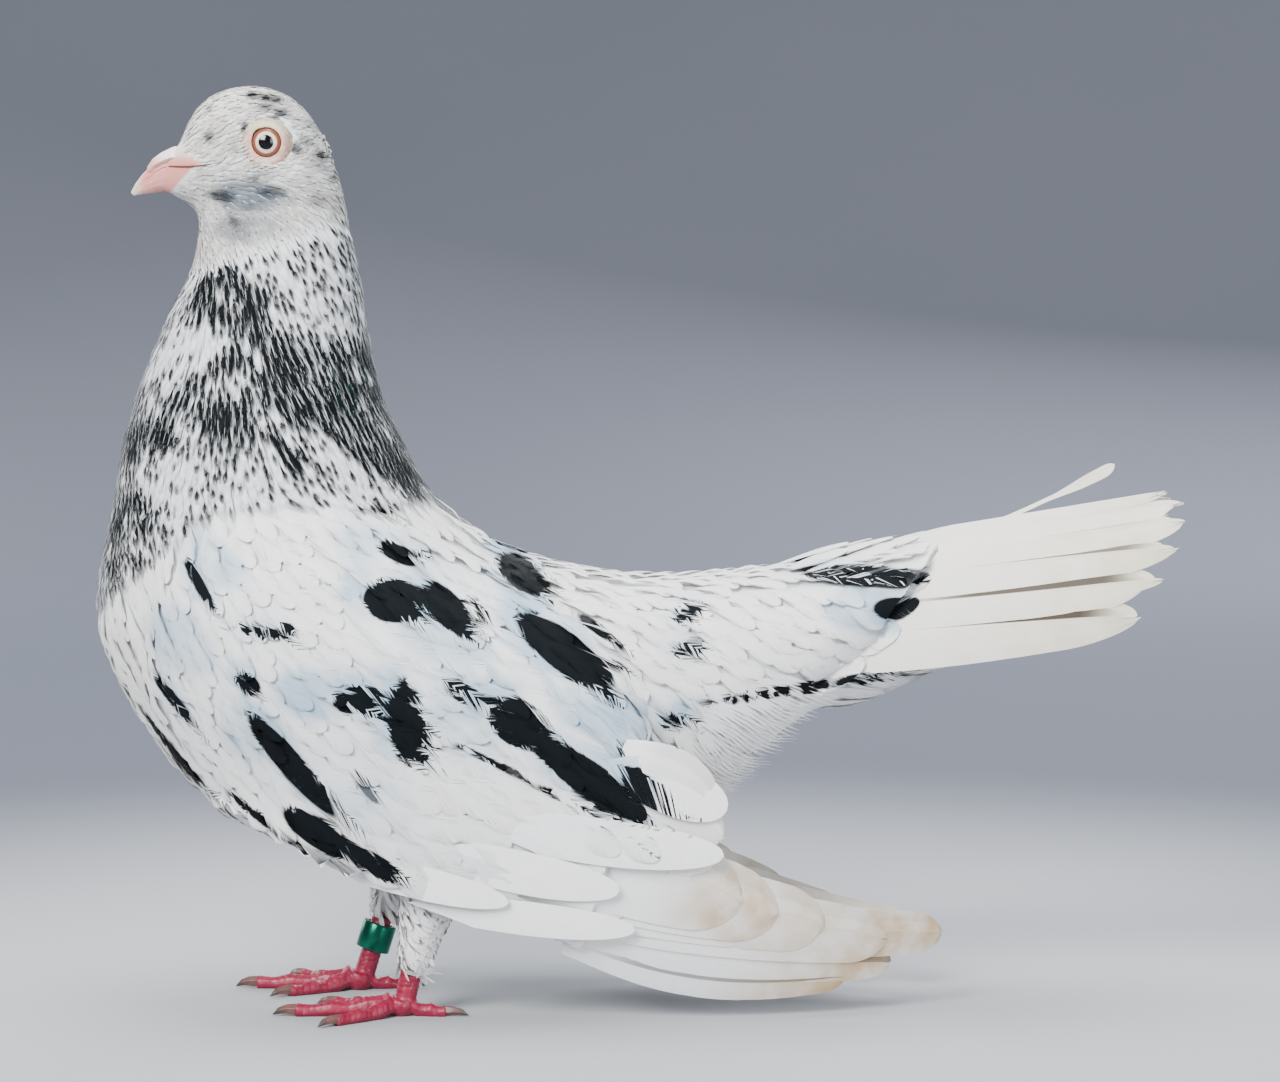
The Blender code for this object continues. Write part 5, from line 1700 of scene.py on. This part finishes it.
def tail_coverts(skin, material):
    """Long soft coverts that hide the roots of the tail feathers."""
    feathers = []
    widest = math.radians(TAIL_SPREAD) * ROOF_RADIUS
    for row in range(COVERT_ROWS):
        for k in range(COVERT_ANGLES + row % 2):
            b = widest * ((k + 0.5 - 0.5 * (row % 2)) / COVERT_ANGLES * 2 - 1) * 0.98
            angle = abs(math.degrees(b / ROOF_RADIUS))
            tip = 6.0 + 9.0 * float(smooth(8, 42, angle)) - 6.0 * float(smooth(60, 86, angle))
            tip += random.uniform(-1.2, 1.2) - COVERT_STEP * row
            length = random.uniform(22.0, 25.0)
            feathers.append((tip - length, b, length, random.uniform(10.5, 12.5), 0.3 * row - 2.0,
                             2.5 + 0.2 * row - 0.008 * angle, 0.0))
    lay_on_chart(skin, "tail_coverts", roof_chart, feathers, SOFT, material)


# ---------------------------------------------------------------- coat

def in_parts(skin, *names):
    """Which faces of the skin belong to some flesh solids."""
    wanted = [FLESH.index(name) for name in names]
    return np.isin(skin.face_part, wanted)


def cover(skin, coat, name, allowed, spacing, plan, length, width, slot, row=0.0, **how):
    """One zone of feathers, in rows across the coat's lie if `row` gives their distance."""
    weight = allowed * in_rows(skin, row) if row else allowed.astype(float)
    places, faces = open_roots(skin, *scattered(skin, weight, spacing))
    lay(skin, name, places, faces, plan, length, width, coat[slot], slot, **how)


def dress(skin, coat):
    """Feathers of every part, from the smallest on the face to the long coverts."""
    centre = skin.points[skin.triangles].mean(1)
    normal = skin.face_normal
    u = (centre[:, 0] * MM - CAD_LOW.x) / (CAD_HIGH.x - CAD_LOW.x)
    w = (centre[:, 2] * MM - CAD_LOW.z) / (CAD_HIGH.z - CAD_LOW.z)
    head = in_parts(skin, "head")
    from_eye = near_eyes(centre, BARE_AHEAD)
    at_bill = beside_bill(centre) > 0
    bare = head & ((from_eye < BARE_RADIUS) | at_bill)
    face = head & ~bare & (from_eye < FACE_RADIUS)
    neck = in_parts(skin, "neck")
    trunk = in_parts(skin, "trunk")
    hackled = neck | (trunk & (w > np.interp(u, *np.array(NECK_EDGE).T)))
    wings = in_parts(skin, "wing_left", "wing_right")
    rump = in_parts(skin, "rump") & (normal[:, 0] < 0.22)
    tail_root = rump & (centre[:, 0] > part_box("tail")[0].x / MM - 4.0)
    vent = in_parts(skin, "undertail")
    thighs = in_parts(skin, "thigh_left", "thigh_right")
    lower_wing = wings & (w < 0.245 + 0.30 * (0.42 - u)) & (u > 0.15)
    smooth_wing = lower_wing & (u < 0.36)
    covert = wings & ~lower_wing & (normal[:, 0] < 0.85)
    tiny = barb_plan(3, 0.40, 0.45, 2.2, 0.8)
    small = barb_plan(5, 0.40, 0.45, 2.4, 0.7)
    tuft = trunk & (u > 0.53) & (u < 0.64) & (w < 0.37) & (normal[:, 2] < -0.15)

    def zone(*what, **how):
        cover(skin, coat, *what, **how)

    zone("face_feathers", face, 0.80, tiny, 2.3, 0.9, "plumage_head", marks="head", steps=1, turn=0.12,
         fray=0.6, rise=(0.5, 1.0), soft=0.95)
    zone("head_feathers", head & ~bare & ~face, 0.95, small, 3.8, 1.4, "plumage_head", marks="head", steps=2,
         turn=0.10, fray=0.8, rise=(0.4, 1.0), soft=0.95)
    zone("neck_hackles", hackled, 1.60, strand_plan(7, 3, 0.8, 2.4), 9.5, 2.6, "plumage_neck", marks="neck",
         turn=0.07, soft=0.7)
    zone("breast_feathers", trunk & ~hackled, 3.6, SOFT, 15.0, 8.5, "plumage_body", row=4.0, steps=5,
         fray=1.2)
    zone("rump_feathers", rump & ~tail_root, 3.7, SOFT, 19.0, 9.5, "plumage_body", row=4.0, steps=6, fray=1.4,
         rise=(0.4, 1.0))
    tail_coverts(skin, coat["plumage_body"])
    zone("vent_feathers", vent, 2.8, strand_plan(9, 4, 1.0, 2.0), 18.0, 6.5, "plumage_body", steps=5,
         turn=0.20, fray=1.2, rise=(0.0, 1.3), lift=1.2)
    zone("vent_tuft", tuft, 3.4, strand_plan(5, 4, 1.0, 2.0), 17.0, 7.0, "plumage_body", steps=5, turn=0.32,
         fray=1.2, rise=(0.0, 1.5), lift=3.2, settle=0.0)
    zone("lesser_coverts", covert & (u < 0.22), 3.4, FIRM, 12.5, 7.5, "plumage_wing", row=3.6, fray=1.4)
    zone("median_coverts", covert & (u >= 0.22) & (u < 0.40), 4.3, FIRM, 19.0, 10.0, "plumage_wing", row=4.6,
         steps=5, fray=1.4)
    zone("greater_coverts", covert & (u >= 0.40), 4.4, FIRM, 25.0, 10.5, "plumage_wing", row=4.8, steps=6,
         fray=1.6)
    zone("smooth_coverts", smooth_wing, 4.8, FIRM, 20.0, 12.0, "plumage_wing", row=5.2, steps=6, fray=1.0)
    zone("thigh_feathers", thighs, 1.15, FLUFF, 6.5, 2.3, "plumage_body", turn=0.20, fray=0.8,
         rise=(0.3, 2.0), lift=0.7, settle=0.0, soft=0.94)


# ---------------------------------------------------------------- stage

BACKDROP_RADIUS = 2.4
BACKDROP_BEND = 1.1           # radius of the curve between floor and wall
BACKDROP_HEIGHT = 3.68
PALE_RADIUS = (0.15, 0.50)    # the floor is pale inside the first and takes the wall's colour by the second


def backdrop_material():
    """Matt paper: pale round the bird, grey-blue further off."""
    material, tree, shader = new_material("studio_paper", 0.95, Specular_IOR_Level=0.05)
    place = add(tree, "ShaderNodeTexCoord").outputs["Object"]
    away = add(tree, "ShaderNodeVectorMath", {"operation": "LENGTH"}, i0=place).outputs["Value"]
    cloud = noise(tree, 5.0, 3.0)
    pale = blend(tree, (0.36, 0.375, 0.40), (0.385, 0.40, 0.425), cloud)
    wall = blend(tree, (0.185, 0.197, 0.235), (0.195, 0.207, 0.245), cloud)
    far_floor = blend(tree, (0.110, 0.120, 0.150), wall, ranged(tree, away, 0.8, 2.4))
    result = blend(tree, pale, far_floor, ranged(tree, away, *PALE_RADIUS))
    tree.links.new(result, shader.inputs["Base Color"])
    return material


def make_stage():
    """Round floor that curves up into the wall without a seam."""
    flat = BACKDROP_RADIUS - BACKDROP_BEND
    profile = [(flat * k / 12, 0.0) for k in range(13)]
    for k in range(1, 17):
        angle = math.pi / 2 * k / 16
        profile.append((flat + BACKDROP_BEND * math.sin(angle), BACKDROP_BEND * (1 - math.cos(angle))))
    profile.append((BACKDROP_RADIUS, BACKDROP_HEIGHT))
    shape = bmesh.new()
    verts = [shape.verts.new((radius, 0.0, height)) for radius, height in profile]
    edges = [shape.edges.new(pair) for pair in zip(verts, verts[1:])]
    bmesh.ops.spin(shape, geom=verts + edges, cent=(0, 0, 0), axis=(0, 0, 1), angle=math.tau, steps=128)
    bmesh.ops.remove_doubles(shape, verts=shape.verts, dist=1e-5)
    bmesh.ops.recalc_face_normals(shape, faces=shape.faces)
    mesh = mesh_of("studio", shape)
    mesh.shade_smooth()
    mesh.materials.append(backdrop_material())
    linked("studio", mesh)


def facing(place, target):
    """Rotation of a light or camera at a place that looks at a target."""
    return (Vector(target) - Vector(place)).to_track_quat("-Z", "Y").to_euler()


LIGHT_TARGET = (0.0, 0.0, 0.12)
# Soft square lamps round the bird: name, place, side, watts, tint
LIGHTS = (
    ("key", (-0.7, -1.2, 1.0), 0.7, 58.0, (1.0, 0.985, 0.96)),
    ("fill", (1.0, -1.3, 0.5), 1.0, 22.0, (0.95, 0.97, 1.0)),
    ("top", (0.1, 0.1, 1.5), 1.0, 24.0, (1.0, 1.0, 1.0)),
    ("back", (0.5, 1.4, 0.8), 0.9, 26.0, (0.96, 0.98, 1.0)),
    ("behind", (-1.0, 1.2, 0.6), 0.9, 14.0, (1.0, 1.0, 1.0)),
)
AIR = ((0.88, 0.92, 0.97, 1.0), 0.95)    # colour and strength of the light from all round


def make_lights():
    """Even light from all round, and the lamps."""
    world = bpy.data.worlds.new("studio")
    bpy.context.scene.world = world
    world.use_nodes = True
    background = world.node_tree.nodes["Background"]
    background.inputs["Color"].default_value, background.inputs["Strength"].default_value = AIR
    for name, place, size, watts, tint in LIGHTS:
        data = bpy.data.lights.new(name, "AREA")
        data.energy = watts
        data.size = size
        data.color = tint
        light = linked(name, data)
        light.location = place
        light.visible_camera = False
        light.rotation_euler = facing(place, LIGHT_TARGET)


CAMERA_TARGET = (0.0, 0.0, 0.124)
CAMERA_DISTANCE = 1.1
CAMERA_LIFT = 4.5             # degrees over the horizontal
CAMERA_SPAN = 0.3413          # metres across the picture at the target
SENSOR = 36.0


def make_camera():
    """Camera on the bird's left, framed by the span it sees at the bird."""
    lift = math.radians(CAMERA_LIFT)
    data = bpy.data.cameras.new("camera")
    data.sensor_width = SENSOR
    data.lens = SENSOR * CAMERA_DISTANCE / CAMERA_SPAN
    camera = linked("camera", data)
    target = Vector(CAMERA_TARGET)
    camera.location = target + Vector((0, -math.cos(lift), math.sin(lift))) * CAMERA_DISTANCE
    camera.rotation_euler = facing(camera.location, target)
    bpy.context.scene.camera = camera


def main():
    make_camera()
    skin = Skin()
    coat = {
        "plumage_head": plumage("head_plumage", warmth=0.85, soft=0.9, warm_colour=HEAD_GREY,
                                 blue_colour=HEAD_BLUE, root_shade=0.03),
        "plumage_neck": plumage("neck_plumage", warmth=0.1, soft=0.25, green_sheen=True),
        "plumage_body": plumage("body_plumage", warmth=0.35),
        "plumage_wing": plumage("wing_plumage", warmth=0.15),
    }
    make_skin(skin, plumage("skin_plumage", warmth=0.3, bare=True))
    dress(skin, coat)
    flight = vane_material("flight_vanes", WHITE, BUFF, "stain")
    tail = vane_material("tail_vanes", CREAM, (0.60, 0.56, 0.40), "stain")
    eye = eye_material()
    lid = flesh_material("lid_skin", (0.64, 0.34, 0.27), (0.70, 0.50, 0.40), 700.0, roughness=0.6,
                         tip=(0.60, 0.53, 0.38), rim=(0.20, 0.19, 0.17))
    pink = flesh_material("bill_horn", (0.66, 0.24, 0.21), (0.70, 0.34, 0.31), 260.0, roughness=0.42,
                          bump=0.00003, tip=(0.74, 0.62, 0.50))
    mouth = flesh_material("mouth_line", (0.20, 0.045, 0.04), (0.10, 0.03, 0.03), 900.0, roughness=0.6)
    wattle = flesh_material("cere_skin", (0.80, 0.66, 0.63), (0.82, 0.74, 0.71), 500.0, roughness=0.7,
                            bump=0.00004, tip=(0.72, 0.36, 0.32))
    horn = flesh_material("claw_horn", (0.16, 0.070, 0.060), (0.11, 0.055, 0.048), 500.0, roughness=0.4,
                          bump=0.00003, tip=(0.035, 0.028, 0.026))
    for side in SIDES:
        make_eye(side, eye)
        make_lids(skin, side, lid)
        make_mouth_line(skin, side, mouth)
        make_wing_vanes(skin, side, flight, coat["plumage_wing"])
    make_tail(skin, tail)
    refined("upper_bill", ("bill_upper",), 0.22, 14, 0.34, shaped_bill, pink, "bill")
    refined("lower_bill", ("bill_lower",), 0.22, 14, 0.30, shaped_bill, pink, "bill")
    refined("soft_cere", ("cere",), 0.25, 12, 0.10, shaped_cere, wattle, "cere")
    make_feet(foot_material(), horn)
    make_ring(ring_material())
    make_stage()
    make_lights()


main()
